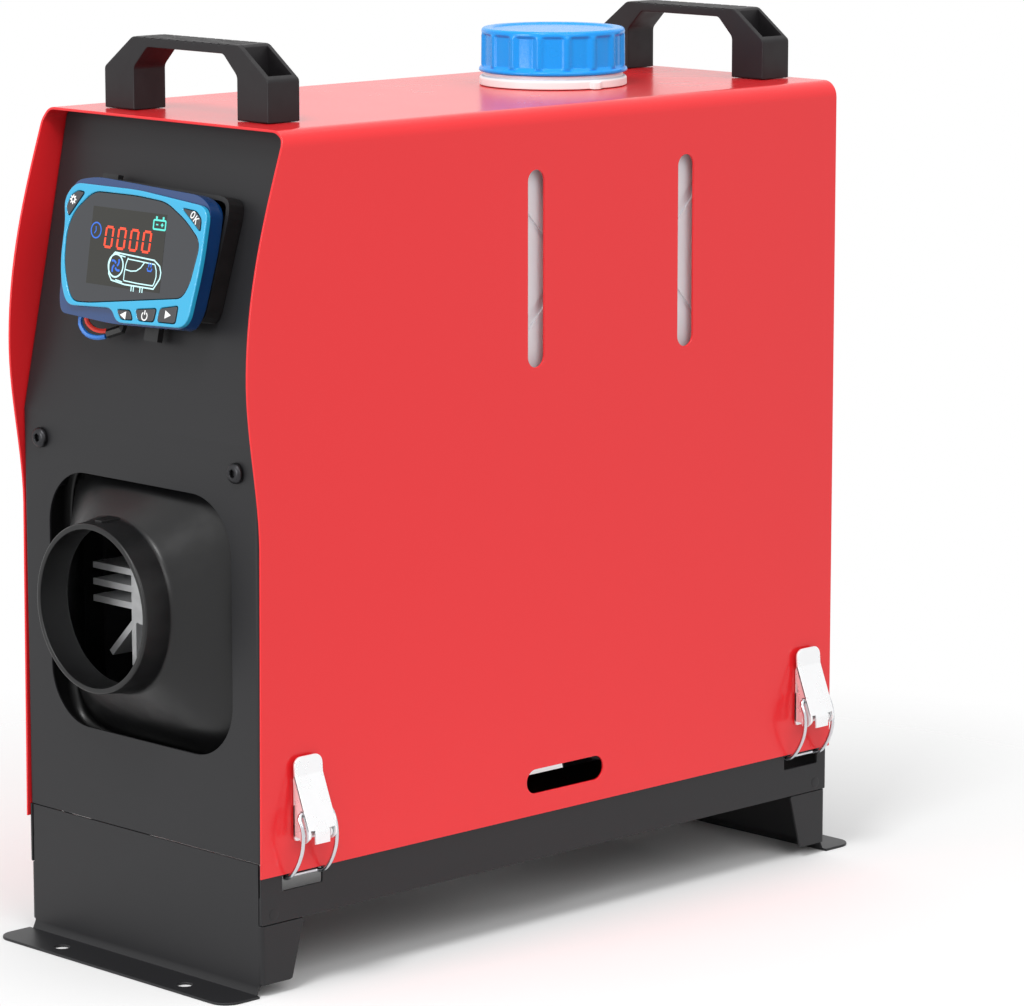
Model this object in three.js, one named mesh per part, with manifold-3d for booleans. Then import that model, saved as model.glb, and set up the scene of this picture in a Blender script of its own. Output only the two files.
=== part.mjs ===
// Portable diesel air heater: sheet steel case on two rails, with the fuel tank above the heater core.
// Millimetres. X across (the outlet's left is -X), Y along the case with the outlet at -Y, Z up,
// the floor at z = 0 and the middle of the whole length at y = 0.
import * as THREE from 'three';
import { mergeVertices } from 'three/addons/utils/BufferGeometryUtils.js';
import Module from 'manifold-3d';

const wasm = await Module();
wasm.setup();

// ---------------------------------------------------------------- driving dimensions
const GAP = 0.3;                 // clearance between pieces that touch
const SHEET = 1.2;               // case and base sheet
const SPOUT_OD = 74;             // outlet collar, for a 75 mm warm air hose

// hood
const HOOD_WIDTH = 160;
const HOOD_LENGTH = 360;
const HOOD_FRONT = -HOOD_LENGTH / 2;
const HOOD_REAR = HOOD_LENGTH / 2;
const HOOD_BOTTOM = 52.5;
const HOOD_TOP = 370;
const HOOD_BEND = 7.5;           // outer bend radius of the two long top edges
const HOOD_TOP_SETBACK = 16.5;   // how far the top starts behind the front
const HOOD_WAIST_SETBACK = 1.3;  // hollow of the wavy front edge
const HOOD_WAIST_Z = 195;
const HOOD_BELLY = 5.2;          // bulge of the wavy front edge
const HOOD_BELLY_Z = 265;
const LEVEL_SLOT = { width: 10, bottom: 255.5, top: 343, ys: [-16.5, 78.5] };
const CABLE_SLOT = { y: 2.1, length: 48.5, height: 11, z: 68 };

// front and rear panels
const PANEL_SETBACK = 1;         // panel face behind the hood's edge
const PANEL_BOTTOM = 58.5;
const PANEL_BEND_Z = 238;
const PANEL_LEAN = 11.8;         // degrees, of the upper part of the front panel
const PANEL_FLANGE = 12;
const WINDOW = { half: 61, bottom: 100, top: 213.5, corner: 25 };
const PANEL_SCREW = { x: 65.5, z: 226 };
const SCREW = { shaft: 2.5, head: 4.5, headHeight: 2.6, socket: 1.6, length: 12 };

// base
const RAIL_SETBACK = 1.5;        // rail face inside the hood's face
const RAIL_BOTTOM = 31.5;
const RAIL_TOP = PANEL_BOTTOM - GAP;
const NOTCH = { width: 23, bottom: 45, top: 51.8 };
const FOOT = {
  flange: 21.3, corner: 8.5,               // the part that stands on the floor
  wing: 24.5, toe: 17, toeZ: 5.2,          // the side wings, at the top and at the toe
  hole: 3.4, holeX: 42, holeOut: 12.4,     // fixing holes
};
const DECK = { front: HOOD_FRONT + 110, rear: HOOD_REAR - 40, top: 89.7, sheet: 2 };
const STRAP_HALF = 29;

// handles
const HANDLE = { legIn: 34, legOut: 54, depth: 18, height: 32, shoulder: 18, bar: 4.2 };
const HANDLE_YS = [HOOD_FRONT + 39.5, HOOD_REAR - 14];

// filler
const FILLER_Y = 73;
const NECK_RISE = 19.7;          // filler rim above the hood's top
const NECK = { inner: 25, outer: 28.5, thread: 30.2, pitch: 4, rim: HOOD_TOP + NECK_RISE };
const GASKET = 1.6;              // thickness of the ring in the cap
const LINER = 1.3;               // thickness of the disc in the cap
const CAP_WALL = 3;
const CAP = {
  radius: 34.25, ribs: 16, ribDepth: 1.6, wall: CAP_WALL,
  bottom: HOOD_TOP + 6.5,
  top: NECK.rim + GASKET + LINER + CAP_WALL + 3 * GAP,
};

// tank
const TANK = {
  half: 75, front: HOOD_FRONT + 85, rear: HOOD_REAR - 10,
  bottom: 236.5, top: HOOD_TOP - 8, wall: 2.2, corner: 12,
};

// toggle latches
const LATCH_YS = [HOOD_FRONT + 24.5, HOOD_REAR - 18.5];
const LATCH = { width: 16, sheet: 1.1, tipZ: 104.5, kinkZ: 96, footZ: 72, tongueZ: 66.5, out: 12.6 };
const LATCH_PIN = { x: 8.2, z: 70.5, radius: 1.4 };
const BAIL = { x: 7.2, z: 79.5, wire: 0.95, reach: 10, hookX: -3.1 };

// heater core
const CORE = {
  half: 57.5, z: 157, halfHeight: 58, wall: 2.5, corner: 24,
  front: HOOD_FRONT + 28, rear: HOOD_REAR - 12,
};
const SPOUT = { z: 162, rim: HOOD_FRONT - 26, length: 14, draft: 1, wall: 2.5 };
const BODY = { half: 21, halfHeight: 15, front: HOOD_FRONT + 15, rear: 20, bore: 12.5 };
const FIN = { thick: 2.9, pitch: 7.5, reach: 48.5, rise: 34 };
const BLOWER = { radius: 44, flange: 4, depth: 26, wall: 3 };
const MOTOR = { radius: 24, length: 50 };
const SHAFT = 2.5;
const FAN = { radius: 47, hub: 15, width: 20, blades: 9 };

// controller
const CONTROL = { faceOut: 18.8, bezel: 2.4, body: 7.4, wall: 1 };
const BUTTON_TRAVEL = 0.8;

// colours
const RED = 0xd8262b;
const BLACK = 0x3a3a3c;
const DARK = 0x242426;
const ZINC = 0xd9dce0;
const ALUMINIUM = 0xc9ccd0;
const BLUE = 0x0a93e8;
const NATURAL = 0xf2f3ef;
const CYAN = 0x2fa9d6;
const NAVY = 0x12508f;
const GLASS = 0x46484c;
const STEEL = 0x9ea2a6;
const GREEN = 0x1d6a3a;

// ---------------------------------------------------------------- shape helpers
const ALONG_X = new THREE.Matrix4().makeBasis(
  new THREE.Vector3(0, 1, 0), new THREE.Vector3(0, 0, 1), new THREE.Vector3(1, 0, 0));
const ALONG_Y = new THREE.Matrix4().makeBasis(
  new THREE.Vector3(-1, 0, 0), new THREE.Vector3(0, 0, 1), new THREE.Vector3(0, 1, 0));

const v3 = (x, y, z) => new THREE.Vector3(x, y, z);

function solid(geometry) {
  const plain = geometry.index ? geometry.toNonIndexed() : geometry.clone();
  for (const name of Object.keys(plain.attributes)) {
    if (name !== 'position') plain.deleteAttribute(name);
  }
  const merged = mergeVertices(plain, 1e-4);
  return new wasm.Manifold(new wasm.Mesh({
    numProp: 3,
    vertProperties: new Float32Array(merged.attributes.position.array),
    triVerts: new Uint32Array(merged.index.array),
  }));
}

function geometryOf(manifold) {
  const mesh = manifold.getMesh();
  const geometry = new THREE.BufferGeometry();
  geometry.setAttribute('position', new THREE.BufferAttribute(mesh.vertProperties, 3));
  geometry.setIndex(new THREE.BufferAttribute(mesh.triVerts, 1));
  return geometry;
}

const join = (first, ...rest) => rest.reduce((sum, next) => sum.add(next), first);
const cut = (first, ...rest) => rest.reduce((left, next) => left.subtract(next), first);

function box(x0, x1, y0, y1, z0, z1) {
  const geometry = new THREE.BoxGeometry(x1 - x0, y1 - y0, z1 - z0);
  return solid(geometry.translate((x0 + x1) / 2, (y0 + y1) / 2, (z0 + z1) / 2));
}

function extrude(shape, depth, segments = 3) {
  return new THREE.ExtrudeGeometry(shape, { depth, bevelEnabled: false, curveSegments: segments });
}

// a shape drawn in (y, z), reaching from x0 to x1
const sideways = (shape, x0, x1, segments) =>
  solid(extrude(shape, x1 - x0, segments).applyMatrix4(ALONG_X).translate(x0, 0, 0));

// a shape drawn in (-x, z), reaching from y0 to y1
const lengthways = (shape, y0, y1, segments) =>
  solid(extrude(shape, y1 - y0, segments).applyMatrix4(ALONG_Y).translate(0, y0, 0));

// a shape drawn in (x, y), reaching from z0 to z1
const upright = (shape, z0, z1, segments) =>
  solid(extrude(shape, z1 - z0, segments).translate(0, 0, z0));

// a round bar or disc along an axis letter, from one end to the other
function rod(axis, radius, from, to, a, b, sides = 16) {
  const geometry = new THREE.CylinderGeometry(radius, radius, to - from, sides);
  const middle = (from + to) / 2;
  if (axis === 'x') return solid(geometry.rotateZ(Math.PI / 2).translate(middle, a, b));
  if (axis === 'y') return solid(geometry.translate(a, middle, b));
  return solid(geometry.rotateX(Math.PI / 2).translate(a, b, middle));
}

// a turned piece: profile points are (radius, distance along the axis)
function turned(axis, profile, a, b, sides = 24) {
  const points = profile.map(([radius, along]) => new THREE.Vector2(radius, along));
  if (THREE.ShapeUtils.area(points) < 0) points.reverse();
  if (points[0].x > 0) points.push(points[0].clone());
  const geometry = new THREE.LatheGeometry(points, sides);
  if (axis === 'x') return solid(geometry.rotateZ(-Math.PI / 2).translate(0, a, b));
  if (axis === 'y') return solid(geometry.translate(a, 0, b));
  return solid(geometry.rotateX(Math.PI / 2).translate(a, b, 0));
}

function polygon(points) {
  return new THREE.Shape(points.map(([x, y]) => new THREE.Vector2(x, y)));
}

// a polygon whose corners are rounded by quadratic curves of the given reach
function softPolygon(points, reach) {
  const shape = new THREE.Shape();
  const count = points.length;
  for (let i = 0; i < count; i += 1) {
    const here = new THREE.Vector2(...points[i]);
    const before = new THREE.Vector2(...points[(i + count - 1) % count]);
    const after = new THREE.Vector2(...points[(i + 1) % count]);
    const back = before.sub(here);
    const on = after.sub(here);
    const along = (side) => {
      const distance = Math.min(reach, side.length() * 0.45);
      return here.clone().addScaledVector(side.clone().normalize(), distance);
    };
    const start = along(back);
    const end = along(on);
    if (i === 0) shape.moveTo(start.x, start.y);
    else shape.lineTo(start.x, start.y);
    shape.quadraticCurveTo(here.x, here.y, end.x, end.y);
  }
  return shape;
}

// a convex counter-clockwise polygon moved inwards by a distance
function inset(points, distance) {
  const count = points.length;
  return points.map((point, i) => {
    const here = new THREE.Vector2(...point);
    const before = new THREE.Vector2(...points[(i + count - 1) % count]);
    const after = new THREE.Vector2(...points[(i + 1) % count]);
    const inward = here.clone().sub(before).normalize();
    const outward = after.sub(here).normalize();
    const normalA = new THREE.Vector2(-inward.y, inward.x);
    const normalB = new THREE.Vector2(-outward.y, outward.x);
    const bisector = normalA.clone().add(normalB).normalize();
    const move = distance / Math.max(0.3, bisector.dot(normalA));
    return [here.x + bisector.x * move, here.y + bisector.y * move];
  });
}

function roundRect(x0, x1, y0, y1, radius) {
  const shape = new THREE.Shape();
  const quarter = Math.PI / 2;
  shape.moveTo(x0 + radius, y0);
  shape.lineTo(x1 - radius, y0);
  shape.absarc(x1 - radius, y0 + radius, radius, -quarter, 0, false);
  shape.lineTo(x1, y1 - radius);
  shape.absarc(x1 - radius, y1 - radius, radius, 0, quarter, false);
  shape.lineTo(x0 + radius, y1);
  shape.absarc(x0 + radius, y1 - radius, radius, quarter, 2 * quarter, false);
  shape.lineTo(x0, y0 + radius);
  shape.absarc(x0 + radius, y0 + radius, radius, 2 * quarter, 3 * quarter, false);
  return shape;
}

// a round wire, hose or cable through the given points
function tube(points, radius, steps, sides = 8) {
  const path = new THREE.CatmullRomCurve3(points.map((p) => v3(...p)), false, 'centripetal');
  const section = new THREE.Shape();
  section.absarc(0, 0, radius, 0, Math.PI * 2, false);
  const options = { steps, extrudePath: path, bevelEnabled: false, curveSegments: sides / 2 };
  return solid(new THREE.ExtrudeGeometry(section, options));
}

const heater = new THREE.Group();

function add(parent, name, geometry, color, roughness, metalness = 0) {
  const shape = geometry.isBufferGeometry ? geometry : geometryOf(geometry);
  const mesh = new THREE.Mesh(shape, new THREE.MeshStandardMaterial({ color, roughness, metalness }));
  mesh.name = name;
  parent.add(mesh);
  return mesh;
}

// ---------------------------------------------------------------- sizes that follow from the others
const hoodX = HOOD_WIDTH / 2;
const hoodInner = hoodX - SHEET;
const panelX = hoodInner - GAP;
const panelFront = HOOD_FRONT + PANEL_SETBACK;
const panelRear = HOOD_REAR - PANEL_SETBACK;
const lean = THREE.MathUtils.degToRad(PANEL_LEAN);
const railX = hoodX - RAIL_SETBACK;
const hoodCeiling = HOOD_TOP - SHEET;
const footTop = PANEL_BOTTOM - GAP;
const slotMid = (LEVEL_SLOT.bottom + LEVEL_SLOT.top) / 2;

// ---------------------------------------------------------------- case
function screwHoles(axis, radius, places, from, to) {
  return places.map(([a, b]) => rod(axis, radius, from, to, a, b));
}

function handleHoles(y) {
  const middle = (HANDLE.legIn + HANDLE.legOut) / 2;
  return [[-middle, y], [middle, y]];
}

function waveCutter() {
  const setback = (distance) => HOOD_FRONT + distance;
  const edge = polygon([[setback(-40), HOOD_BOTTOM - 5], [setback(0), HOOD_BOTTOM - 5]]);
  edge.lineTo(setback(HOOD_WAIST_SETBACK), HOOD_WAIST_Z);
  edge.bezierCurveTo(
    setback(HOOD_WAIST_SETBACK), HOOD_WAIST_Z + 23,
    setback(-HOOD_BELLY), HOOD_BELLY_Z - 23,
    setback(-HOOD_BELLY), HOOD_BELLY_Z);
  edge.bezierCurveTo(
    setback(-HOOD_BELLY), HOOD_BELLY_Z + 40,
    setback(HOOD_TOP_SETBACK - 10), HOOD_TOP - 33,
    setback(HOOD_TOP_SETBACK), HOOD_TOP - 3);
  edge.lineTo(setback(HOOD_TOP_SETBACK), HOOD_TOP + 5);
  edge.lineTo(setback(-40), HOOD_TOP + 5);
  return sideways(edge, -hoodX - 1, hoodX + 1, 8);
}

function archShape(half, top, bottom, bend) {
  const shape = new THREE.Shape();
  shape.moveTo(half, bottom);
  shape.lineTo(half, top - bend);
  shape.absarc(half - bend, top - bend, bend, 0, Math.PI / 2, false);
  shape.lineTo(bend - half, top);
  shape.absarc(bend - half, top - bend, bend, Math.PI / 2, Math.PI, false);
  shape.lineTo(-half, bottom);
  return shape;
}

function hood() {
  const start = HOOD_FRONT - HOOD_BELLY - 1;
  const outside = lengthways(archShape(hoodX, HOOD_TOP, HOOD_BOTTOM, HOOD_BEND), start, HOOD_REAR);
  const inside = lengthways(
    archShape(hoodInner, hoodCeiling, HOOD_BOTTOM - 5, HOOD_BEND - SHEET), start - 5, HOOD_REAR + 5);
  const slots = LEVEL_SLOT.ys.map((y) => sideways(
    roundRect(y - LEVEL_SLOT.width / 2, y + LEVEL_SLOT.width / 2,
      LEVEL_SLOT.bottom, LEVEL_SLOT.top, LEVEL_SLOT.width / 2 - 0.01),
    -hoodX - 1, hoodX + 1, 2));
  const cable = sideways(
    roundRect(CABLE_SLOT.y - CABLE_SLOT.length / 2, CABLE_SLOT.y + CABLE_SLOT.length / 2,
      CABLE_SLOT.z - CABLE_SLOT.height / 2, CABLE_SLOT.z + CABLE_SLOT.height / 2,
      CABLE_SLOT.height / 2 - 0.01),
    -hoodX - 1, hoodX + 1, 2);
  const filler = rod('z', NECK.thread + 2 * GAP, hoodCeiling - 1, HOOD_TOP + 1, 0, FILLER_Y, 28);
  const handles = HANDLE_YS.flatMap((y) => screwHoles(
    'z', SCREW.shaft + GAP, handleHoles(y), hoodCeiling - 1, HOOD_TOP + 1));
  const rivets = latchPlaces().flatMap(({ side, y }) => rivetHeights().map((z) => {
    const [low, high] = [hoodInner - 1, hoodX + 1].map((x) => x * side).sort((a, b) => a - b);
    return rod('x', RIVET.shaft + GAP, low, high, y, z, 6);
  }));
  return cut(outside, inside, waveCutter(), ...slots, cable, filler, ...handles, ...rivets);
}

// the front panel's outer face runs straight up and then leans back
const panelTop = hoodCeiling - GAP;
const panelTopY = panelFront + (panelTop - PANEL_BEND_Z) * Math.tan(lean);

function frontPanelSide(depth, bottom = PANEL_BOTTOM) {
  return polygon([
    [panelFront, bottom], [panelFront + depth, bottom],
    [panelFront + depth, PANEL_BEND_Z - depth * Math.tan(lean / 2)],
    [panelTopY + depth / Math.cos(lean), panelTop], [panelTopY, panelTop],
    [panelFront, PANEL_BEND_Z],
  ]);
}

const grommetUp = 52;            // up the leaning face, measured from the bend
const grommetX = -12;
const GROMMET = { hole: 5, lip: 6.6, groove: 1.2 };

function onLean(geometry) {
  return geometry.rotateX(-lean).translate(0, panelFront, PANEL_BEND_Z);
}

function windowShape(grow = 0) {
  return roundRect(-WINDOW.half - grow, WINDOW.half + grow,
    WINDOW.bottom - grow, WINDOW.top + grow, WINDOW.corner + grow);
}

const panelScrewPlaces = [[-PANEL_SCREW.x, PANEL_SCREW.z], [PANEL_SCREW.x, PANEL_SCREW.z]];

function frontPanel() {
  const face = sideways(frontPanelSide(SHEET), -panelX, panelX);
  const flange = frontPanelSide(PANEL_FLANGE);
  const left = sideways(flange, -panelX, -panelX + SHEET);
  const right = sideways(flange, panelX - SHEET, panelX);
  const opening = lengthways(windowShape(), panelFront - 1, panelFront + 3, 4);
  const wires = solid(onLean(new THREE.CylinderGeometry(GROMMET.hole, GROMMET.hole, 8, 20)
    .translate(grommetX, 0, grommetUp)));
  return cut(join(face, left, right), opening, wires, topCorners(),
    ...screwHoles('y', SCREW.shaft + GAP, panelScrewPlaces, panelFront - 1, panelFront + 3));
}

function rearPanel() {
  const face = box(-panelX, panelX, panelRear - SHEET, panelRear, PANEL_BOTTOM, panelTop);
  const flanges = [-1, 1].map((side) => {
    const inner = side * (panelX - SHEET);
    const outer = side * panelX;
    return box(Math.min(inner, outer), Math.max(inner, outer),
      panelRear - PANEL_FLANGE, panelRear, PANEL_BOTTOM, panelTop - HOOD_BEND);
  });
  const opening = lengthways(windowShape(), panelRear - 3, panelRear + 1, 4);
  return cut(join(face, ...flanges), opening, topCorners());
}

// both panels give way to the hood's two round top edges
function topCorners() {
  const arch = archShape(panelX, panelTop, PANEL_BOTTOM - 5, HOOD_BEND - SHEET);
  const block = box(-hoodX, hoodX, -HOOD_LENGTH, HOOD_LENGTH, PANEL_BOTTOM - 6, HOOD_TOP);
  return cut(block, lengthways(arch, -HOOD_LENGTH - 1, HOOD_LENGTH + 1));
}

// a button head screw with a hexagon socket, through the panel into the duct's ear
function panelScrew(x, z) {
  const seat = panelFront - GAP;
  const { head, headHeight, shaft, socket, length } = SCREW;
  const top = seat - headHeight;
  const button = turned('y', [[0, top], [head * 0.5, top], [head * 0.8, top + 0.5], [head, seat - 0.9],
    [head, seat], [shaft, seat], [shaft, seat + length], [0, seat + length]], x, z, 14);
  return cut(button, rod('y', socket, top - 1, top + 1.4, x, z, 6));
}

// ---------------------------------------------------------------- outlet duct
// Sections change from a circle at the collar into a rounded square behind the panel:
// for a profile radius r the square part is t = (r - collar) / (frame - collar), held to 0..1.
const ductFrame = WINDOW.half + 3.5;

function ductShell() {
  const collar = SPOUT_OD / 2;
  const wall = SPOUT.wall;
  const root = SPOUT.rim + SPOUT.length;
  const seat = panelFront + SHEET + GAP;
  const floor = seat + 13;
  const profile = [
    [collar - wall, SPOUT.rim], [collar, SPOUT.rim], [collar + SPOUT.draft, root],
    [ductFrame - 2, floor], [ductFrame, floor - 3], [ductFrame, seat],
    [ductFrame + 9, seat], [ductFrame + 9, seat + wall], [ductFrame + wall, seat + wall],
    [ductFrame + wall, floor + wall], [ductFrame - 6.5, floor + wall], [ductFrame - 9.5, floor - 3],
    [collar + SPOUT.draft + 0.5, root + 4.5], [collar - wall, root + 1.5],
  ];
  const points = profile.map(([r, y]) => new THREE.Vector2(r, y));
  if (THREE.ShapeUtils.area(points) < 0) points.reverse();
  points.push(points[0].clone());
  const geometry = new THREE.LatheGeometry(points, 28);
  const place = geometry.attributes.position;
  for (let i = 0; i < place.count; i += 1) {
    const x = place.getX(i);
    const z = place.getZ(i);
    const radius = Math.hypot(x, z);
    const t = THREE.MathUtils.clamp((radius - collar) / (ductFrame - collar), 0, 1);
    const power = 2 + 3.4 * t;
    const rounder = ((Math.abs(x) / radius) ** power + (Math.abs(z) / radius) ** power) ** (-1 / power);
    place.setX(i, x * rounder);
    place.setZ(i, z * rounder + THREE.MathUtils.lerp(SPOUT.z, CORE.z, t));
  }
  return solid(geometry);
}

function outletDuct() {
  const seat = panelFront + SHEET + GAP;
  const floor = seat + 13;
  const sleeve = cut(
    lengthways(coreSection(-GAP - SPOUT.wall), floor + 1, CORE.front + 10, 2),
    lengthways(coreSection(-GAP), floor, CORE.front + 11, 2));
  const ears = [-1, 1].map((side) => {
    const [x0, x1] = [side * (PANEL_SCREW.x - 9), side * (PANEL_SCREW.x + 8)].sort((a, b) => a - b);
    return lengthways(roundRect(-x1, -x0, PANEL_SCREW.z - 22, PANEL_SCREW.z + 8, 4), seat, seat + 6);
  });
  const pilots = screwHoles('y', SCREW.shaft + GAP, panelScrewPlaces, seat - 1, seat + SCREW.length + 2);
  const mark = box(-4, 4, SPOUT.rim + 6, SPOUT.rim + SPOUT.length, SPOUT.z + SPOUT_OD / 2 - 1.5,
    SPOUT.z + SPOUT_OD / 2 + 0.9);
  const bore = rod('y', SPOUT_OD / 2 - SPOUT.wall, SPOUT.rim - 1, SPOUT.rim + SPOUT.length, 0, SPOUT.z, 32);
  return cut(join(ductShell(), sleeve, ...ears, cut(mark, bore)), ...pilots);
}

// ---------------------------------------------------------------- handles
function handle() {
  const half = HANDLE.depth / 2;
  const top = HOOD_TOP + GAP + HANDLE.height;
  const floor = HOOD_TOP + GAP;
  const shoulder = floor + HANDLE.shoulder;
  const inTop = top - HANDLE.bar;
  const outline = polygon([
    [-HANDLE.legOut, floor], [-HANDLE.legIn, floor], [-HANDLE.legIn, inTop - 9],
    [-HANDLE.legIn + 9, inTop], [HANDLE.legIn - 9, inTop], [HANDLE.legIn, inTop - 9],
    [HANDLE.legIn, floor], [HANDLE.legOut, floor], [HANDLE.legOut, shoulder],
    [HANDLE.legIn + 1, top], [-HANDLE.legIn - 1, top], [-HANDLE.legOut, shoulder],
  ]);
  const bar = lengthways(outline, -half, half);
  const web = 2.4;
  const pockets = [-1, 1].map((side) => {
    const pocket = polygon([
      [side * (HANDLE.legIn + web), floor + 5], [side * (HANDLE.legOut - web), floor + 5],
      [side * (HANDLE.legOut - web), top + 5], [side * (HANDLE.legIn + web), top + 5],
    ]);
    return lengthways(pocket, -half + web, half - web);
  });
  const ribs = [];
  for (let x = 6 - HANDLE.legIn; x <= HANDLE.legIn - 6; x += 5.5) {
    ribs.push(rod('y', 0.7, -half - 1, half + 1, x, top, 4));
  }
  const holes = screwHoles('z', SCREW.shaft + GAP, handleHoles(0), floor - 1, floor + 8);
  return cut(bar, ...pockets, ...holes, ...ribs);
}

// ---------------------------------------------------------------- base
const RIVET = { shaft: 1.6 };

function rail(side) {
  const wall = [railX - SHEET, railX].map((x) => x * side).sort((a, b) => a - b);
  const blank = polygon([
    [panelFront, RAIL_BOTTOM], [panelRear, RAIL_BOTTOM], [panelRear, RAIL_TOP], [panelFront, RAIL_TOP]]);
  const notches = LATCH_YS.map((y) => box(wall[0] - 1, wall[1] + 1,
    y - NOTCH.width / 2, y + NOTCH.width / 2, NOTCH.bottom, NOTCH.top));
  const rivets = footRivets().map(([y, z]) => rod('x', RIVET.shaft + GAP, wall[0] - 1, wall[1] + 1, y, z, 6));
  return cut(sideways(blank, wall[0], wall[1]), ...notches, ...rivets);
}

function footRivets() {
  const back = 7;
  return [[panelFront + back, RAIL_BOTTOM + 4], [panelRear - back, RAIL_BOTTOM + 4]];
}

// end = -1 for the front foot, 1 for the rear foot
function foot(end) {
  const face = end < 0 ? panelFront : panelRear;
  const y = (distance) => face - end * distance;       // distance behind the foot's face
  const span = (a, b) => [y(a), y(b)].sort((low, high) => low - high);
  const [p0, p1] = span(0, SHEET);
  const plate = box(-railX + SHEET + GAP, railX - SHEET - GAP, p0, p1, 0, footTop);
  const lower = box(-railX, railX, p0, p1, 0, RAIL_BOTTOM - GAP);
  const [f0, f1] = span(-FOOT.flange, 0.5);
  const flange = end < 0
    ? flangeShape(-railX, railX, f0, f1)
    : flangeShape(-railX, railX, -f1, -f0);
  const floor = upright(flange, 0, SHEET);
  const bottom = end < 0 ? floor : solid(geometryOf(floor).rotateZ(Math.PI));
  const wings = [-1, 1].map((side) => {
    const outline = softPolygon([
      [y(0.5), FOOT.toeZ], [y(FOOT.toe), FOOT.toeZ], [y(FOOT.wing), RAIL_BOTTOM - GAP],
      [y(0.5), RAIL_BOTTOM - GAP]], 1.2);
    const [x0, x1] = [side * (railX - SHEET), side * railX].sort((a, b) => a - b);
    const [t0, t1] = [side * (railX - 2 * SHEET - GAP), side * (railX - SHEET - GAP)].sort((a, b) => a - b);
    const [j0, j1] = [side * (railX - 2 * SHEET - GAP), side * (railX - 0.2)].sort((a, b) => a - b);
    const [w0, w1] = span(0.4, FOOT.wing - 3);
    const tab = join(box(t0, t1, w0, w1, RAIL_BOTTOM - 6, NOTCH.bottom - 1),
      box(j0, j1, w0, w1, RAIL_BOTTOM - 6, RAIL_BOTTOM - GAP));
    const rivets = footRivets().map(([ry, rz]) => rod('x', RIVET.shaft + GAP, -90, 90, ry, rz, 6));
    return join(sideways(outline, x0, x1), cut(tab, ...rivets));
  });
  const holes = [-1, 1].map((side) =>
    rod('z', FOOT.hole, -1, SHEET + 1, side * FOOT.holeX, y(-FOOT.holeOut), 12));
  return cut(join(plate, lower, bottom, ...wings), ...holes);
}

// the flange that stands on the floor, with its two outer corners rounded
function flangeShape(x0, x1, y0, y1) {
  const r = FOOT.corner;
  const shape = new THREE.Shape();
  shape.moveTo(x0, y1);
  shape.lineTo(x0, y0 + r);
  shape.absarc(x0 + r, y0 + r, r, Math.PI, Math.PI * 1.5, false);
  shape.lineTo(x1 - r, y0);
  shape.absarc(x1 - r, y0 + r, r, Math.PI * 1.5, Math.PI * 2, false);
  shape.lineTo(x1, y1);
  return shape;
}

const deckX = railX - SHEET - GAP;
const legBottom = RAIL_BOTTOM + 1.8;

function mountPlate() {
  const { front, rear, top, sheet } = DECK;
  const outline = polygon([
    [front, legBottom], [front + sheet, legBottom], [front + sheet, top - sheet],
    [rear - sheet, top - sheet], [rear - sheet, legBottom], [rear, legBottom], [rear, top], [front, top]]);
  const body = sideways(outline, -deckX, deckX);
  const sideTabs = [front, rear - PANEL_FLANGE].flatMap((y) => [-1, 1].map((side) => {
    const [x0, x1] = [side * (deckX - sheet), side * deckX].sort((a, b) => a - b);
    return box(x0, x1, y, y + PANEL_FLANGE, legBottom, RAIL_TOP);
  }));
  const strap = box(-STRAP_HALF, STRAP_HALF, front, rear, legBottom - 0.3, legBottom - 0.3 + sheet);
  const holes = [
    rod('z', EXHAUST.radius + 1.5, top - 5, top + 1, EXHAUST.x, EXHAUST.y, 16),
    rod('z', AIR.radius + 1.5, top - 5, top + 1, AIR.x, AIR.y, 16),
    rod('z', 4.2, top - 5, top + 1, FUEL_IN.x, FUEL_IN.y, 16),
    rod('z', 4.2, top - 5, top + 1, TANK_OUT.x, TANK_OUT.y, 12),
  ];
  return cut(join(body, ...sideTabs, strap), ...holes);
}

// ---------------------------------------------------------------- tank, its shelf and the filler
function tankShelf() {
  const floor = TANK.bottom - GAP;
  const x = hoodInner - GAP;
  const rear = panelRear - PANEL_FLANGE - GAP;
  const plate = box(-x, x, TANK.front - 4, rear, floor - SHEET, floor);
  const sides = [-1, 1].map((side) => {
    const [x0, x1] = [side * (x - SHEET), side * x].sort((a, b) => a - b);
    return box(x0, x1, TANK.front - 4, rear, floor - PANEL_FLANGE, floor);
  });
  const hose = rod('z', 7, floor - 3, floor + 1, TANK_OUT.x, TANK_OUT.y);
  return cut(join(plate, ...sides), hose);
}

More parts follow.
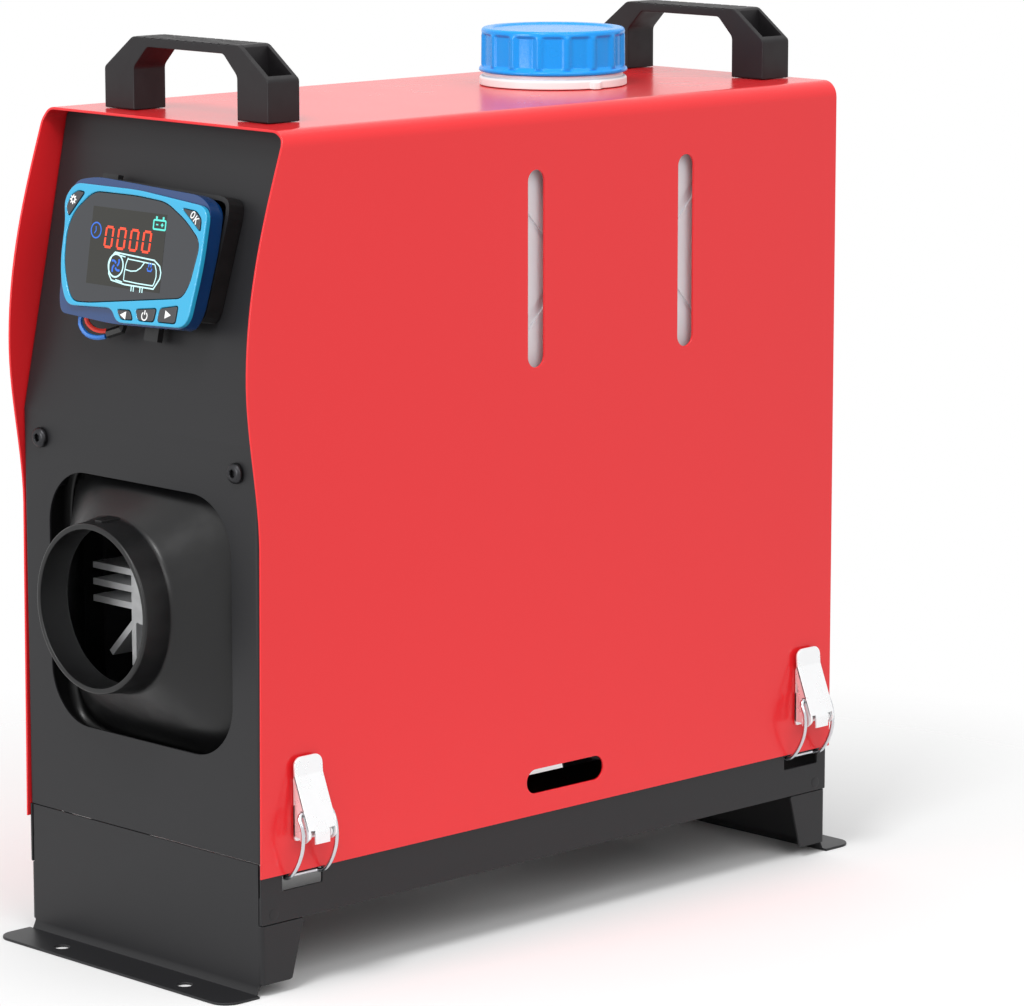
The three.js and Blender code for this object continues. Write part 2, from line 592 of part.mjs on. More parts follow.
function fuelTank() {
  const { half, front, rear, bottom, top, wall, corner } = TANK;
  const shell = upright(roundRect(-half, half, front, rear, corner), bottom, top, 2);
  const hollow = upright(roundRect(-half + wall, half - wall, front + wall, rear - wall, corner - wall),
    bottom + wall, top - wall, 2);
  const neck = rod('z', NECK.outer, top - 1, NECK.rim, 0, FILLER_Y, 20);
  const threads = [0, 1].map((turn) => {
    const z = NECK.rim - 4 - turn * NECK.pitch;
    return turned('z', [[NECK.outer - 1, z - 1.4], [NECK.thread, z - 0.4], [NECK.thread, z + 0.4],
      [NECK.outer - 1, z + 1.4]], 0, FILLER_Y, 20);
  });
  const bore = rod('z', NECK.inner, top - wall - 1, NECK.rim + 1, 0, FILLER_Y, 20);
  const grooves = [-1, 1].flatMap((side) => LEVEL_SLOT.ys.map((y, i) => {
    const sway = i ? -1 : 1;
    const stroke = (y0, z0, y1, z1) => polygon([[y0, z0], [y0 + 5, z0 - 2], [y1 + 5, z1 - 2], [y1, z1]]);
    const high = stroke(y - 22 * sway, slotMid + 44, y + 16 * sway, slotMid + 4);
    const low = stroke(y + 16 * sway, slotMid - 4, y - 22 * sway, slotMid - 44);
    const [x0, x1] = [side * (half - 0.9), side * (half + 1)].sort((a, b) => a - b);
    return [sideways(high, x0, x1), sideways(low, x0, x1)];
  })).flat();
  const spigot = rod('z', 5.5, bottom - TANK_OUT.spigot, bottom + 1, TANK_OUT.x, TANK_OUT.y);
  const drain = rod('z', 2, bottom - TANK_OUT.spigot - 1, bottom + wall + 1, TANK_OUT.x, TANK_OUT.y, 12);
  return cut(join(shell, neck, ...threads, spigot), hollow, bore, drain, ...grooves);
}

function fillerCollar() {
  const floor = HOOD_TOP + GAP;
  const inner = NECK.thread + GAP;
  const outer = CAP.radius - 0.2;
  const ring = turned('z', [[inner, floor], [outer, floor], [outer, floor + 3.4], [outer - 1.6, floor + 4.2],
    [outer - 1.6, CAP.bottom - GAP], [inner, CAP.bottom - GAP]], 0, FILLER_Y, 28);
  const lug = box(outer - 3, outer + 2.2, FILLER_Y - 9, FILLER_Y - 2, floor, floor + 3.2);
  return join(ring, lug);
}

// the cap's outline has narrow grip ribs between wide shallow flutes, each corner given as its share
// of the way to the next rib and its depth under the full radius
const ribShares = [[0, CAP.ribDepth], [0.36, CAP.ribDepth], [0.44, 0.4], [0.56, 0.4], [0.64, CAP.ribDepth]];
function capOutline() {
  const shape = new THREE.Shape();
  const step = (Math.PI * 2) / CAP.ribs;
  for (let i = 0; i < CAP.ribs; i += 1) {
    for (const [share, depth] of ribShares) {
      const angle = (i + share) * step;
      const radius = CAP.radius - depth;
      const point = [radius * Math.cos(angle), radius * Math.sin(angle)];
      if (i === 0 && share === 0) shape.moveTo(...point);
      else shape.lineTo(...point);
    }
  }
  return shape;
}

function fillerCap() {
  const bore = NECK.thread + 2 * GAP;
  const ribbed = upright(capOutline(), CAP.bottom + 2.4, CAP.top - 2, 1);
  const skirt = turned('z', [[0, CAP.bottom], [CAP.radius, CAP.bottom], [CAP.radius, CAP.bottom + 2.4],
    [CAP.radius - 1.6, CAP.bottom + 3.4], [CAP.radius - 1.6, CAP.top - 2.4], [CAP.radius - 3.2, CAP.top],
    [CAP.radius - 7, CAP.top], [CAP.radius - 8, CAP.top - 0.8], [0, CAP.top - 0.8]], 0, 0, 32);
  return cut(join(skirt, ribbed), rod('z', bore, CAP.bottom - 1, CAP.top - CAP.wall, 0, 0, 28));
}

// ---------------------------------------------------------------- toggle latches
// A latch is drawn in its own frame: x out from the hood's face, y along the hood, z up.
function rivetHeights() {
  return [LATCH.footZ + 6, LATCH.kinkZ - 7];
}

function latchPlaces() {
  const sides = [[1, 'right'], [-1, 'left']];
  return sides.flatMap(([side, sideName]) =>
    LATCH_YS.map((y, i) => ({ side, y, name: `${i ? 'rear' : 'front'}_${sideName}` })));
}

const leverInner = LATCH.width / 2 - LATCH.sheet;
const earOuter = leverInner - GAP;

function latchBase() {
  const { x, z } = LATCH_PIN;
  const ear = polygon([[GAP, z - 2.2], [x - 2.4, z - 2.2], [x, z - 2.9], [x + 2.3, z - 1.8], [x + 2.9, z],
    [x + 2, z + 2.1], [GAP + 3, z + 12], [GAP, z + 12]]);
  const ears = [-1, 1].map((side) => lengthways(mirrored(ear),
    side > 0 ? earOuter - LATCH.sheet : -earOuter, side > 0 ? earOuter : LATCH.sheet - earOuter));
  const plate = box(GAP, GAP + LATCH.sheet, -earOuter, earOuter, z - 4, LATCH.kinkZ - 2);
  const end = LATCH.width / 2 + 0.1;
  const pin = rod('y', LATCH_PIN.radius, -end, end, x, z, 10);
  const rivets = rivetHeights().map((height) => rod('x', RIVET.shaft + GAP, -1, 3, 0, height, 6));
  return cut(join(plate, ...ears, pin), ...rivets);
}

// a shape drawn in (x, z) turned into the (-x, z) that lengthways takes
function mirrored(shape) {
  return new THREE.Shape(shape.getPoints(3).map((p) => new THREE.Vector2(-p.x, p.y)));
}

function latchLever() {
  const half = LATCH.width / 2;
  const skin = LATCH.sheet;
  const out = LATCH.out;
  const face = polygon([
    [1.4, LATCH.tipZ], [1.4 + skin, LATCH.tipZ], [2 + skin, LATCH.kinkZ], [out, LATCH.footZ],
    [out, LATCH.tongueZ], [out - skin, LATCH.tongueZ], [out - skin, LATCH.footZ - 0.4],
    [2, LATCH.kinkZ - 0.4]]);
  const skinBody = lengthways(mirrored(face), -half, half);
  const side = polygon([
    [2 + skin - 0.2, LATCH.kinkZ], [1.6, LATCH.kinkZ - 2], [3.4, BAIL.z + 3], [BAIL.x - 3, BAIL.z - 1],
    [LATCH_PIN.x - 3.2, LATCH_PIN.z], [LATCH_PIN.x - 2, LATCH_PIN.z - 3.2],
    [LATCH_PIN.x + 1, LATCH_PIN.z - 3.6], [out - 0.4, LATCH_PIN.z - 1], [out - 0.3, LATCH.footZ]]);
  const flanges = [-half, half - skin].map((y) => lengthways(mirrored(side), y, y + skin));
  const tongueCuts = [box(out - 2, out + 1, -half - 1, -3.6, LATCH.tongueZ - 1, LATCH.footZ - 0.6),
    box(out - 2, out + 1, 4.6, half + 1, LATCH.tongueZ - 1, LATCH.footZ - 0.6)];
  const corners = [-1, 1].map((end) => cut(
    box(0, 4, end > 0 ? half - 4 : -half - 1, end > 0 ? half + 1 : 4 - half, LATCH.tipZ - 4, LATCH.tipZ + 1),
    rod('x', 4, -1, 5, end * (half - 4), LATCH.tipZ - 4, 12)));
  const pin = rod('y', LATCH_PIN.radius + 0.15, -half - 1, half + 1, LATCH_PIN.x, LATCH_PIN.z, 10);
  const wire = rod('y', BAIL.wire + 0.45, -half - 1, half + 1, BAIL.x, BAIL.z, 12);
  return cut(join(cut(skinBody, ...tongueCuts, ...corners), ...flanges), pin, wire);
}

function latchBail() {
  const arm = LATCH.width / 2 + 0.45 + BAIL.wire;
  const hookZ = NOTCH.top - BAIL.wire - GAP;
  const side = [
    [BAIL.x, leverInner - 0.6, BAIL.z], [BAIL.x, arm - 1, BAIL.z], [BAIL.x + 0.3, arm, BAIL.z - 1.4],
    [BAIL.x + 2.4, arm + 0.1, BAIL.z - 7], [BAIL.x + 2.2, arm + 0.3, BAIL.z - 15],
    [BAIL.x - 1.2, arm + 0.5, hookZ + 6], [1.8, BAIL.reach, hookZ + 1.2], [-1, BAIL.reach, hookZ],
    [BAIL.hookX + 0.4, BAIL.reach - 0.6, hookZ], [BAIL.hookX, BAIL.reach - 2.4, hookZ]];
  const other = side.map(([x, y, z]) => [x, -y, z]).reverse();
  return tube([...side, [BAIL.hookX, 0, hookZ], ...other], BAIL.wire, 30, 6);
}

// ---------------------------------------------------------------- heater core
const EXHAUST = { x: -22, y: -22, radius: 12 };
const AIR = { x: 17, y: 16, radius: 10 };
const FUEL_IN = { x: 27, y: -26 };
const SPIGOT_BOTTOM = 62;
const PAD = { x: 37, front: -50, rear: 40, bottom: 92 };
const coreBottom = CORE.z - CORE.halfHeight;
const coreTop = CORE.z + CORE.halfHeight;
const neck = { x: 17, front: -34, rear: 26 };

function coreSection(grow) {
  return roundRect(-CORE.half + grow, CORE.half - grow,
    CORE.z - CORE.halfHeight + grow, CORE.z + CORE.halfHeight - grow, CORE.corner - grow);
}

function coreShell(upper) {
  const outside = lengthways(coreSection(0), CORE.front, CORE.rear, 2);
  const inside = lengthways(coreSection(CORE.wall), CORE.front - 1, CORE.rear + 1, 2);
  const low = upper ? coreBottom - 1 : CORE.z - GAP / 2;
  const high = upper ? CORE.z + GAP / 2 : coreTop + 1;
  const away = box(-CORE.half - 1, CORE.half + 1, CORE.front - 1, CORE.rear + 1, low, high);
  const half = cut(outside, inside, away);
  if (!upper) {
    return cut(half, box(-neck.x - GAP, neck.x + GAP, neck.front - GAP, neck.rear + GAP,
      coreBottom - 1, coreBottom + CORE.wall + 1));
  }
  const posts = boardPosts().map(([x, y]) =>
    rod('z', 3, BOARD.z + BOARD.sheet + GAP, coreTop - 1, x, y, 12));
  const cable = rod('z', 3, coreTop - 5, coreTop + 1, CABLE_IN.x, CABLE_IN.y);
  return cut(join(half, ...posts), cable);
}

const BOARD = { x: 36, front: 54, rear: 102, z: 199, sheet: 1.6 };
const CABLE_IN = { x: -28, y: 80 };

function boardPosts() {
  return [-1, 1].flatMap((side) => [BOARD.front + 5, BOARD.rear - 5].map((y) => [side * (BOARD.x - 5), y]));
}

function controlBoard() {
  const { x, front, rear, z, sheet } = BOARD;
  const card = box(-x, x, front, rear, z, z + sheet);
  const parts = [
    box(CABLE_IN.x - 6, CABLE_IN.x + 6, CABLE_IN.y - 8, CABLE_IN.y + 8, z + sheet - 0.1, z + sheet + 6),
    box(8, 30, front + 8, front + 24, z - 7, z + 0.1),
    box(-26, -14, front + 26, front + 42, z - 9, z + 0.1),
    rod('z', 5, z - 10, z + 0.1, 0, front + 36, 14),
    rod('z', 5, z - 10, z + 0.1, 14, front + 38, 14),
  ];
  return join(card, ...parts);
}

const finTop = SPOUT.z + FIN.rise;
const finBottom = SPOUT.z - FIN.rise;

function exchangerSection() {
  const { half, halfHeight } = BODY;
  const t = FIN.thick / 2;
  const bars = [];
  for (const step of [-1, 0, 1]) {
    const z = SPOUT.z + step * FIN.pitch;
    bars.push([-FIN.reach, FIN.reach, z - t, z + t]);
  }
  for (const step of [-2.5, -1.5, -0.5, 0.5, 1.5, 2.5]) {
    const x = step * FIN.pitch * 1.1;
    bars.push([x - t, x + t, finBottom, finTop]);
  }
  return { bars, core: roundRect(-half, half, SPOUT.z - halfHeight, SPOUT.z + halfHeight, 5) };
}

function heatExchanger() {
  const { bars, core } = exchangerSection();
  const { front, rear } = BODY;
  const body = lengthways(core, front, rear, 3);
  const fins = bars.map(([x0, x1, z0, z1]) => box(x0, x1, front, rear - 8, z0, z1));
  const slant = [[-1, -1], [1, -1], [-1, 1], [1, 1]].map(([sx, sz]) => {
    const fin = new THREE.BoxGeometry(30, rear - 8 - front, FIN.thick);
    fin.rotateY(-sx * sz * Math.PI / 4);
    fin.translate(sx * (BODY.half + 5), (front + rear - 8) / 2, SPOUT.z + sz * (BODY.halfHeight + 5));
    return solid(fin);
  });
  const flange = rod('y', BLOWER.radius, rear - BLOWER.flange, rear, 0, SPOUT.z, 24);
  const bore = rod('y', BODY.bore, front + 14, rear + 1, 0, SPOUT.z, 16);
  const column = box(-neck.x, neck.x, neck.front, neck.rear - BLOWER.flange - 8,
    PAD.bottom + 2, SPOUT.z - BODY.halfHeight + 2);
  const pad = upright(roundRect(-PAD.x, PAD.x, PAD.front, PAD.rear, 10), PAD.bottom, coreBottom - GAP, 2);
  const spigot = ({ x, y, radius }) => rod('z', radius, SPIGOT_BOTTOM, PAD.bottom + 1, x, y, 16);
  const passage = ({ x, y, radius }) => rod('z', radius - 1.6, SPIGOT_BOTTOM - 1, PAD.bottom + 4, x, y, 16);
  const outlet = rod('z', 8, PAD.bottom - 1, SPOUT.z, -5, EXHAUST.y + 6, 12);
  const nipple = rod('z', 2.5, PAD.bottom - 14, PAD.bottom + 1, FUEL_IN.x, FUEL_IN.y, 12);
  const jet = rod('z', 1, PAD.bottom - 15, PAD.bottom + 4, FUEL_IN.x, FUEL_IN.y, 8);
  return cut(join(body, ...fins, ...slant, flange, column, pad, spigot(EXHAUST), spigot(AIR), nipple),
    bore, passage(EXHAUST), passage(AIR), outlet, jet);
}

function padGasket() {
  const outline = roundRect(-PAD.x, PAD.x, PAD.front, PAD.rear, 10);
  const sheet = upright(outline, DECK.top + GAP, PAD.bottom - GAP, 2);
  const hole = ({ x, y, radius }) => rod('z', radius + GAP, DECK.top - 1, PAD.bottom + 1, x, y, 16);
  return cut(sheet, hole(EXHAUST), hole(AIR), hole({ ...FUEL_IN, radius: 3 }));
}

const burnerFront = BODY.rear + GAP;
const blowerFront = burnerFront + BLOWER.flange + GAP;
const blowerRear = blowerFront + BLOWER.depth;
const motorFront = blowerRear + GAP;
const motorRear = motorFront + MOTOR.length;
const PLUG = { x: 4.2, up: 3.4 };

function burner() {
  const outer = BODY.bore - 1.2;
  const tubeFront = BODY.front + 70;
  const tubeBody = turned('y', [[outer - 1.4, tubeFront], [outer, tubeFront], [outer, burnerFront],
    [BLOWER.radius, burnerFront], [BLOWER.radius, burnerFront + BLOWER.flange],
    [outer - 1.4, burnerFront + BLOWER.flange]], 0, SPOUT.z, 20);
  const cover = rod('y', outer - 1, burnerFront, burnerFront + BLOWER.flange, 0, SPOUT.z, 24);
  const [from, to] = [burnerFront - 1, burnerFront + BLOWER.flange + 1];
  const plug = rod('y', 2.6 + GAP, from, to, PLUG.x, SPOUT.z + PLUG.up, 16);
  const swirl = rod('y', 1.8, from, to, -5, SPOUT.z - 3, 12);
  const ports = [0, 1].flatMap((row) => [0, 1].map((turn) => {
    const y = tubeFront + 14 + row * 26;
    return turn ? rod('x', 2, -outer - 1, outer + 1, y, SPOUT.z, 6)
      : rod('z', 2, SPOUT.z - outer - 1, SPOUT.z + outer + 1, 0, y, 6);
  }));
  return cut(join(tubeBody, cover), plug, swirl, ...ports);
}

function glowPlug() {
  const end = burnerFront + BLOWER.flange;
  return turned('y', [[0, burnerFront - 22], [1.8, burnerFront - 22], [1.8, burnerFront - 4],
    [2.6, burnerFront - 3], [2.6, end + GAP], [4, end + GAP], [4, end + 3], [0, end + 3]],
  PLUG.x, SPOUT.z + PLUG.up, 12);
}

function blowerHousing() {
  const { radius, wall } = BLOWER;
  const cup = turned('y', [[radius - wall, blowerFront], [radius, blowerFront], [radius, blowerRear],
    [SHAFT + 0.4, blowerRear], [SHAFT + 0.4, blowerRear - wall], [radius - wall, blowerRear - wall]],
  0, SPOUT.z, 20);
  const motorShell = turned('y', [[SHAFT + 0.4, motorFront], [MOTOR.radius, motorFront],
    [MOTOR.radius, motorRear - 3], [MOTOR.radius - 3, motorRear], [SHAFT + 0.4, motorRear]], 0, SPOUT.z, 20);
  const seat = turned('y', [[10, blowerRear - 1], [14, blowerRear - 1],
    [14, motorFront + 1], [10, motorFront + 1]], 0, SPOUT.z, 20);
  return join(cup, motorShell, seat);
}

// the combustion air impeller on the motor's shaft, which carries the fan at its other end
function combustionImpeller() {
  const back = blowerRear - BLOWER.wall - 2;
  const disc = rod('y', BLOWER.radius - BLOWER.wall - 2, back - 2, back, 0, SPOUT.z, 24);
  const hub = rod('y', 7, back - 12, back, 0, SPOUT.z, 12);
  const vanes = Array.from({ length: 9 }, (_, i) => {
    const vane = new THREE.BoxGeometry(22, 9, 1.2);
    vane.translate(27, back - 6, 0);
    vane.rotateY((i * Math.PI * 2) / 9);
    return solid(vane.translate(0, 0, SPOUT.z));
  });
  const shaft = rod('y', SHAFT, back - 12, fanFront + FAN.width - 3 - GAP, 0, SPOUT.z, 16);
  return join(disc, hub, ...vanes, shaft);
}

const fanFront = motorRear + 4;

function fanWheel() {
  const { hub, width, blades, radius } = FAN;
  const core = turned('y', [[0, fanFront + 3], [hub, fanFront + 3], [hub, fanFront + width - 4],
    [hub - 4, fanFront + width], [0, fanFront + width]], 0, SPOUT.z, 24);
  const vanes = Array.from({ length: blades }, (_, i) => {
    const vane = new THREE.BoxGeometry(radius - hub + 2, 1.6, 20);
    vane.rotateX(-0.6);
    vane.translate((radius + hub) / 2 - 1, fanFront + width / 2, 0);
    vane.rotateY((i * Math.PI * 2) / blades);
    return solid(vane.translate(0, 0, SPOUT.z));
  });
  const blank = rod('y', radius, fanFront, fanFront + width, 0, SPOUT.z, 36);
  const bore = rod('y', SHAFT + 0.05, fanFront - 1, fanFront + width - 3, 0, SPOUT.z, 16);
  return cut(join(core, ...vanes).intersect(blank), bore);
}

function intakeGrille() {
  const start = CORE.rear + GAP;
  const plate = lengthways(coreSection(0), start, start + 3, 2);
  const hole = rod('y', FAN.radius + 1, start - 1, start + 4, 0, CORE.z, 20);
  const rings = [17, 32].map((r) => turned('y', [[r - 1.3, start], [r + 1.3, start], [r + 1.3, start + 3],
    [r - 1.3, start + 3]], 0, CORE.z, 12));
  const bars = Array.from({ length: 2 }, (_, i) => {
    const bar = new THREE.BoxGeometry(2 * FAN.radius + 6, 2.4, 2.2);
    bar.translate(0, start + 1.5, 0);
    bar.rotateY(((i + 0.5) * Math.PI) / 2);
    return solid(bar.translate(0, 0, CORE.z));
  });
  const hub = rod('y', 6, start, start + 3, 0, CORE.z, 12);
  const rim = lengthways(coreSection(CORE.wall + GAP), start - 6, start + 1, 2);
  const rimHole = lengthways(coreSection(CORE.wall + GAP + 2), start - 7, start + 0.5, 2);
  return join(cut(plate, hole), ...rings, ...bars, hub, cut(rim, rimHole));
}

// ---------------------------------------------------------------- fuel path
const PUMP = { x: -48, y: 12, z: 64, radius: 13, half: 32, tilt: 12 };
const PUMP_OUT_Y = -56;
const TANK_OUT = { x: 67, y: 120, spigot: 12 };
const FILTER = { bottom: 158, top: 204, radius: 8.2 };
const HOSE = 2.6;

function fuelPump() {
  const { radius, half } = PUMP;
  return turned('y', [[0, -half - 14], [2.4, -half - 14], [2.4, -half - 4], [6, -half - 4], [6, -half],
    [radius, -half], [radius, half], [7, half], [7, half + 5], [2.4, half + 5],
    [2.4, half + 14], [0, half + 14]], 0, 0, 20);
}

function pumpMount() {
  const { radius } = PUMP;
  const ring = turned('y', [[radius + GAP, -11], [radius + 3.5, -11],
    [radius + 3.5, 11], [radius + GAP, 11]], 0, 0, 20);
  return join(ring, box(-8, 8, -8, 8, radius + 2, radius + 8.2));
}

function pumpPoint(along) {
  const tilt = THREE.MathUtils.degToRad(PUMP.tilt);
  return [PUMP.x, PUMP.y + along * Math.cos(tilt), PUMP.z - along * Math.sin(tilt)];
}

function fuelFilter() {
  const { bottom, top, radius } = FILTER;
  return turned('z', [[0, bottom - 10], [2.4, bottom - 10], [2.4, bottom - 2], [radius - 2, bottom],
    [radius, bottom + 3], [radius, top - 3], [radius - 2, top], [2.6, top + 2],
    [2.6, TANK.bottom - TANK_OUT.spigot - GAP], [0, TANK.bottom - TANK_OUT.spigot - GAP]],
  TANK_OUT.x, TANK_OUT.y, 16);
}

function filterHose() {
  const { x, y } = TANK_OUT;
  const end = pumpPoint(PUMP.half + 14 + GAP);
  const lead = pumpPoint(PUMP.half + 24);
  return tube([[x, y, FILTER.bottom - 10 - GAP], [x, y, DECK.top + 8], [x - 1, y, DECK.top - 14],
    [x - 12, y - 1, 62], [x - 40, y - 3, 57], [x - 85, y - 8, 54], lead, end], HOSE, 28, 6);
}

function burnerHose() {
  const start = pumpPoint(-PUMP.half - 14 - GAP);
  const lead = pumpPoint(-PUMP.half - 20);
  return tube([start, lead, [PUMP.x + 10, PUMP_OUT_Y, 74], [0, PUMP_OUT_Y - 3, 70], [20, PUMP_OUT_Y + 8, 68],
    [FUEL_IN.x, FUEL_IN.y - 3, 70], [FUEL_IN.x, FUEL_IN.y, 74],
    [FUEL_IN.x, FUEL_IN.y, PAD.bottom - 14 - GAP]], HOSE, 26, 6);
}

// ---------------------------------------------------------------- controller
// Drawn upright in (x, z) with its face looking along -Y, then hung on the leaning panel.
// "off" is the distance in front of the panel.
const controlOutline = [[-36, 47.6], [-6, 49.2], [-1.4, 43.3], [44.4, 45.2], [47.6, 72], [47.4, 97],
  [0, 100.7], [-42, 100.6], [-47.8, 93], [-45, 84], [-44.4, 67], [-41.4, 56]];
const housingOutline = [[-42, 44], [-7, 42.4], [40, 44.4], [44, 52], [47, 80], [46.4, 97], [38, 101.6],
  [-31, 104.4], [-46.6, 101.4], [-46.4, 72], [-44.5, 50]];
const windowOutline = [[-33, 49.5], [-22, 49.9], [38.8, 57.4], [42.6, 64], [45.6, 82], [34, 90.4], [20, 97],
  [0, 98.2], [-28.6, 98], [-39.6, 88.8], [-43.2, 80], [-41.9, 66], [-38.2, 57.3]];
const buttonOutlines = {
  button_menu: [[-43, 85.4], [-34, 97], [-39, 97.4], [-43.2, 95], [-45.3, 89.8]],
  button_ok: [[44.6, 86], [44.2, 91.6], [40.3, 94.7], [30.6, 95.4]],
  button_down: [[1.3, 44.9], [9.5, 45.2], [6.8, 49.5], [-2.3, 49]],
  button_power: [[12.8, 45.4], [23.1, 45.8], [23.9, 51.9], [10, 50.2]],
  button_up: [[25.2, 46], [37.1, 46.4], [37.5, 54.3], [25.8, 52.1]],
};
const faceOff = CONTROL.faceOut;
const bezelBack = faceOff - CONTROL.bezel;
const housingFront = bezelBack - GAP;
const housingBack = housingFront - CONTROL.body;
const buttonBack = bezelBack - 0.6;
const boardFront = buttonBack - BUTTON_TRAVEL - 1;
const WIRE_EXIT = { x: -30, half: 4, off: 12.6, low: 42, high: 53 };

// a flat piece of the controller between two distances from the panel
function slice(points, reach, near, far) {
  return lengthways(mirrored(softPolygon(points, reach)), -near, -far);
}

function controllerBezel() {
  const ring = slice(controlOutline, 7, faceOff, bezelBack);
  const glass = slice(windowOutline, 5, faceOff + 1, bezelBack - 1);
  const holes = Object.values(buttonOutlines).map((points) => slice(points, 1.6, faceOff + 1, bezelBack - 1));
  return cut(ring, glass, ...holes);
}

function controllerWindow() {
  return slice(inset(windowOutline, GAP), 5, faceOff - 0.3, faceOff - 1.8);
}

// the room under the bezel that is a wall inside the housing too
function housingRoom(wall, near, far) {
  const underBezel = slice(inset(controlOutline, wall), 6, near, far);
  const inHousing = slice(inset(housingOutline, wall), 6, near, far);
  return underBezel.intersect(inHousing);
}

function controllerHousing() {
  const cup = slice(housingOutline, 7, housingFront, housingBack);
  const exit = box(WIRE_EXIT.x - WIRE_EXIT.half, WIRE_EXIT.x + WIRE_EXIT.half,
    -WIRE_EXIT.off - 1.8, -WIRE_EXIT.off + 1.8, WIRE_EXIT.low, WIRE_EXIT.high);
  return cut(cup, housingRoom(CONTROL.wall, housingFront + 1, housingBack + CONTROL.wall), exit);
}

function displayBoard() {
  const card = housingRoom(CONTROL.wall + GAP, boardFront, boardFront - 1.6);
  const screen = box(-29, 25, -(faceOff - 2.1), -(boardFront - 0.1), 56, 93);
  const notch = box(WIRE_EXIT.x - WIRE_EXIT.half - 1, WIRE_EXIT.x + WIRE_EXIT.half + 1,
    -faceOff, -housingBack, WIRE_EXIT.low, WIRE_EXIT.high);
  return cut(join(card, screen), notch);
}

function pushButton(points) {
  return slice(inset(points, GAP), 1.3, faceOff + 0.3, buttonBack);
}

function controllerBracket() {
  const outer = [[-42, 48.5], [44, 48.5], [49.4, 96], [47.4, 102.6], [-40, 104.8]];
  const thick = housingBack - GAP;
  const frame = slice(outer, 6, thick, GAP);
  const hollow = slice(inset(outer, 2), 5, thick + 1, GAP + 1.6);
  const topTab = box(-36.4, -26, -thick, -thick + 3, 95, 106.4);
  const lowTab = box(5, 14, -thick + 1, -thick + 4, 37.5, 50);
  const cable = box(grommetX - 9, grommetX + 9, -thick - 1, 0, 47, grommetUp + 9);
  return cut(join(frame, topTab, lowTab), hollow, cable);
}

const WIRE = 1.1;
const CABLE = 2.1;
const slack = [
  ['wire_blue', 0x2d7fd0, [[-31.6, 12.8, 52], [-31.7, 12.8, 46], [-32.4, 12.4, 40.5], [-29, 11, 36.4],
    [-23.5, 9.4, 35.6], [-19.3, 8.2, 36.6]]],
  ['wire_red', 0xe0483a, [[-28.4, 12.8, 52], [-28.4, 12.8, 46], [-28.3, 12.2, 42], [-25.6, 10.6, 39.3],
    [-22, 9.2, 38.6], [-19.3, 8, 39]]],
];

// a point of the leaning panel's own frame, given as x, distance in front and distance up
function leanPoint([x, off, up]) {
  const y = panelFront - off * Math.cos(lean) + up * Math.sin(lean);
  return [x, y, PANEL_BEND_Z + off * Math.sin(lean) + up * Math.cos(lean)];
}

// The cable's own grommet holds it in the panel.
function controllerCable() {
  const outside = [[-18.3, 7.9, 37.9], [-15, 7, 38.8], [-10.6, 6.2, 41.4], [-10.4, 5.6, 46],
    [grommetX + 0.6, 4.6, grommetUp - 3], [grommetX, 2.4, grommetUp], [grommetX, -3, grommetUp]];
  const above = coreTop + 7;
  const inside = [[-14, -150, 282], [-20, -128, 256], [-26, -116, 232], [CABLE_IN.x - 2, -96, above + 2],
    [CABLE_IN.x, 0, above], [CABLE_IN.x, CABLE_IN.y - 14, above], [CABLE_IN.x, CABLE_IN.y, above - 5],
    [CABLE_IN.x, CABLE_IN.y, BOARD.z + BOARD.sheet + 6 + GAP]];
  const { hole, lip, groove } = GROMMET;
  const collar = new THREE.LatheGeometry([[0, -lip + 3], [CABLE, -lip + 3], [lip, -GAP - groove], [lip, -GAP],
    [hole - GAP, -GAP], [hole - GAP, SHEET + GAP], [lip, SHEET + GAP], [lip, SHEET + GAP + groove],
    [CABLE, SHEET + 3], [0, SHEET + 3]].map(([radius, inward]) => new THREE.Vector2(radius, inward)), 12);
  const grommet = solid(onLean(collar.translate(grommetX, 0, grommetUp)));
  return join(tube([...outside.map(leanPoint), ...inside], CABLE, 40, 6), grommet);
}

// ---------------------------------------------------------------- assembly
add(heater, 'hood', hood(), RED, 0.22);
add(heater, 'front_panel', frontPanel(), BLACK, 0.5);
add(heater, 'rear_panel', rearPanel(), BLACK, 0.5);
add(heater, 'outlet_duct', outletDuct(), DARK, 0.6);

const frontHandle = add(heater, 'front_handle', handle(), BLACK, 0.6);
frontHandle.position.y = HANDLE_YS[0];
const rearHandle = add(heater, 'rear_handle', handle(), BLACK, 0.6);
rearHandle.position.y = HANDLE_YS[1];

panelScrewPlaces.forEach(([x, z], i) =>
  add(heater, i ? 'panel_screw_right' : 'panel_screw_left', panelScrew(x, z), DARK, 0.35, 0.8));

add(heater, 'left_rail', rail(-1), BLACK, 0.5);
add(heater, 'right_rail', rail(1), BLACK, 0.5);
add(heater, 'front_foot', foot(-1), BLACK, 0.5);
add(heater, 'rear_foot', foot(1), BLACK, 0.5);
add(heater, 'mount_plate', mountPlate(), BLACK, 0.5);

add(heater, 'fuel_tank', fuelTank(), NATURAL, 0.45);
add(heater, 'tank_shelf', tankShelf(), BLACK, 0.5);
add(heater, 'filler_collar', fillerCollar(), NATURAL, 0.4);

const filler = new THREE.Group();
filler.position.y = FILLER_Y;
heater.add(filler);
const gasketFloor = NECK.rim + GAP;
add(filler, 'cap_gasket', turned('z', [[NECK.inner, gasketFloor], [NECK.thread - 0.6, gasketFloor],
  [NECK.thread - 0.6, gasketFloor + GASKET], [NECK.inner, gasketFloor + GASKET]], 0, 0, 20), DARK, 0.8);
add(filler, 'cap_liner', rod('z', NECK.thread, gasketFloor + GASKET + GAP, CAP.top - CAP.wall - GAP, 0, 0, 24),
  NATURAL, 0.5);
add(filler, 'filler_cap', fillerCap(), BLUE, 0.35);

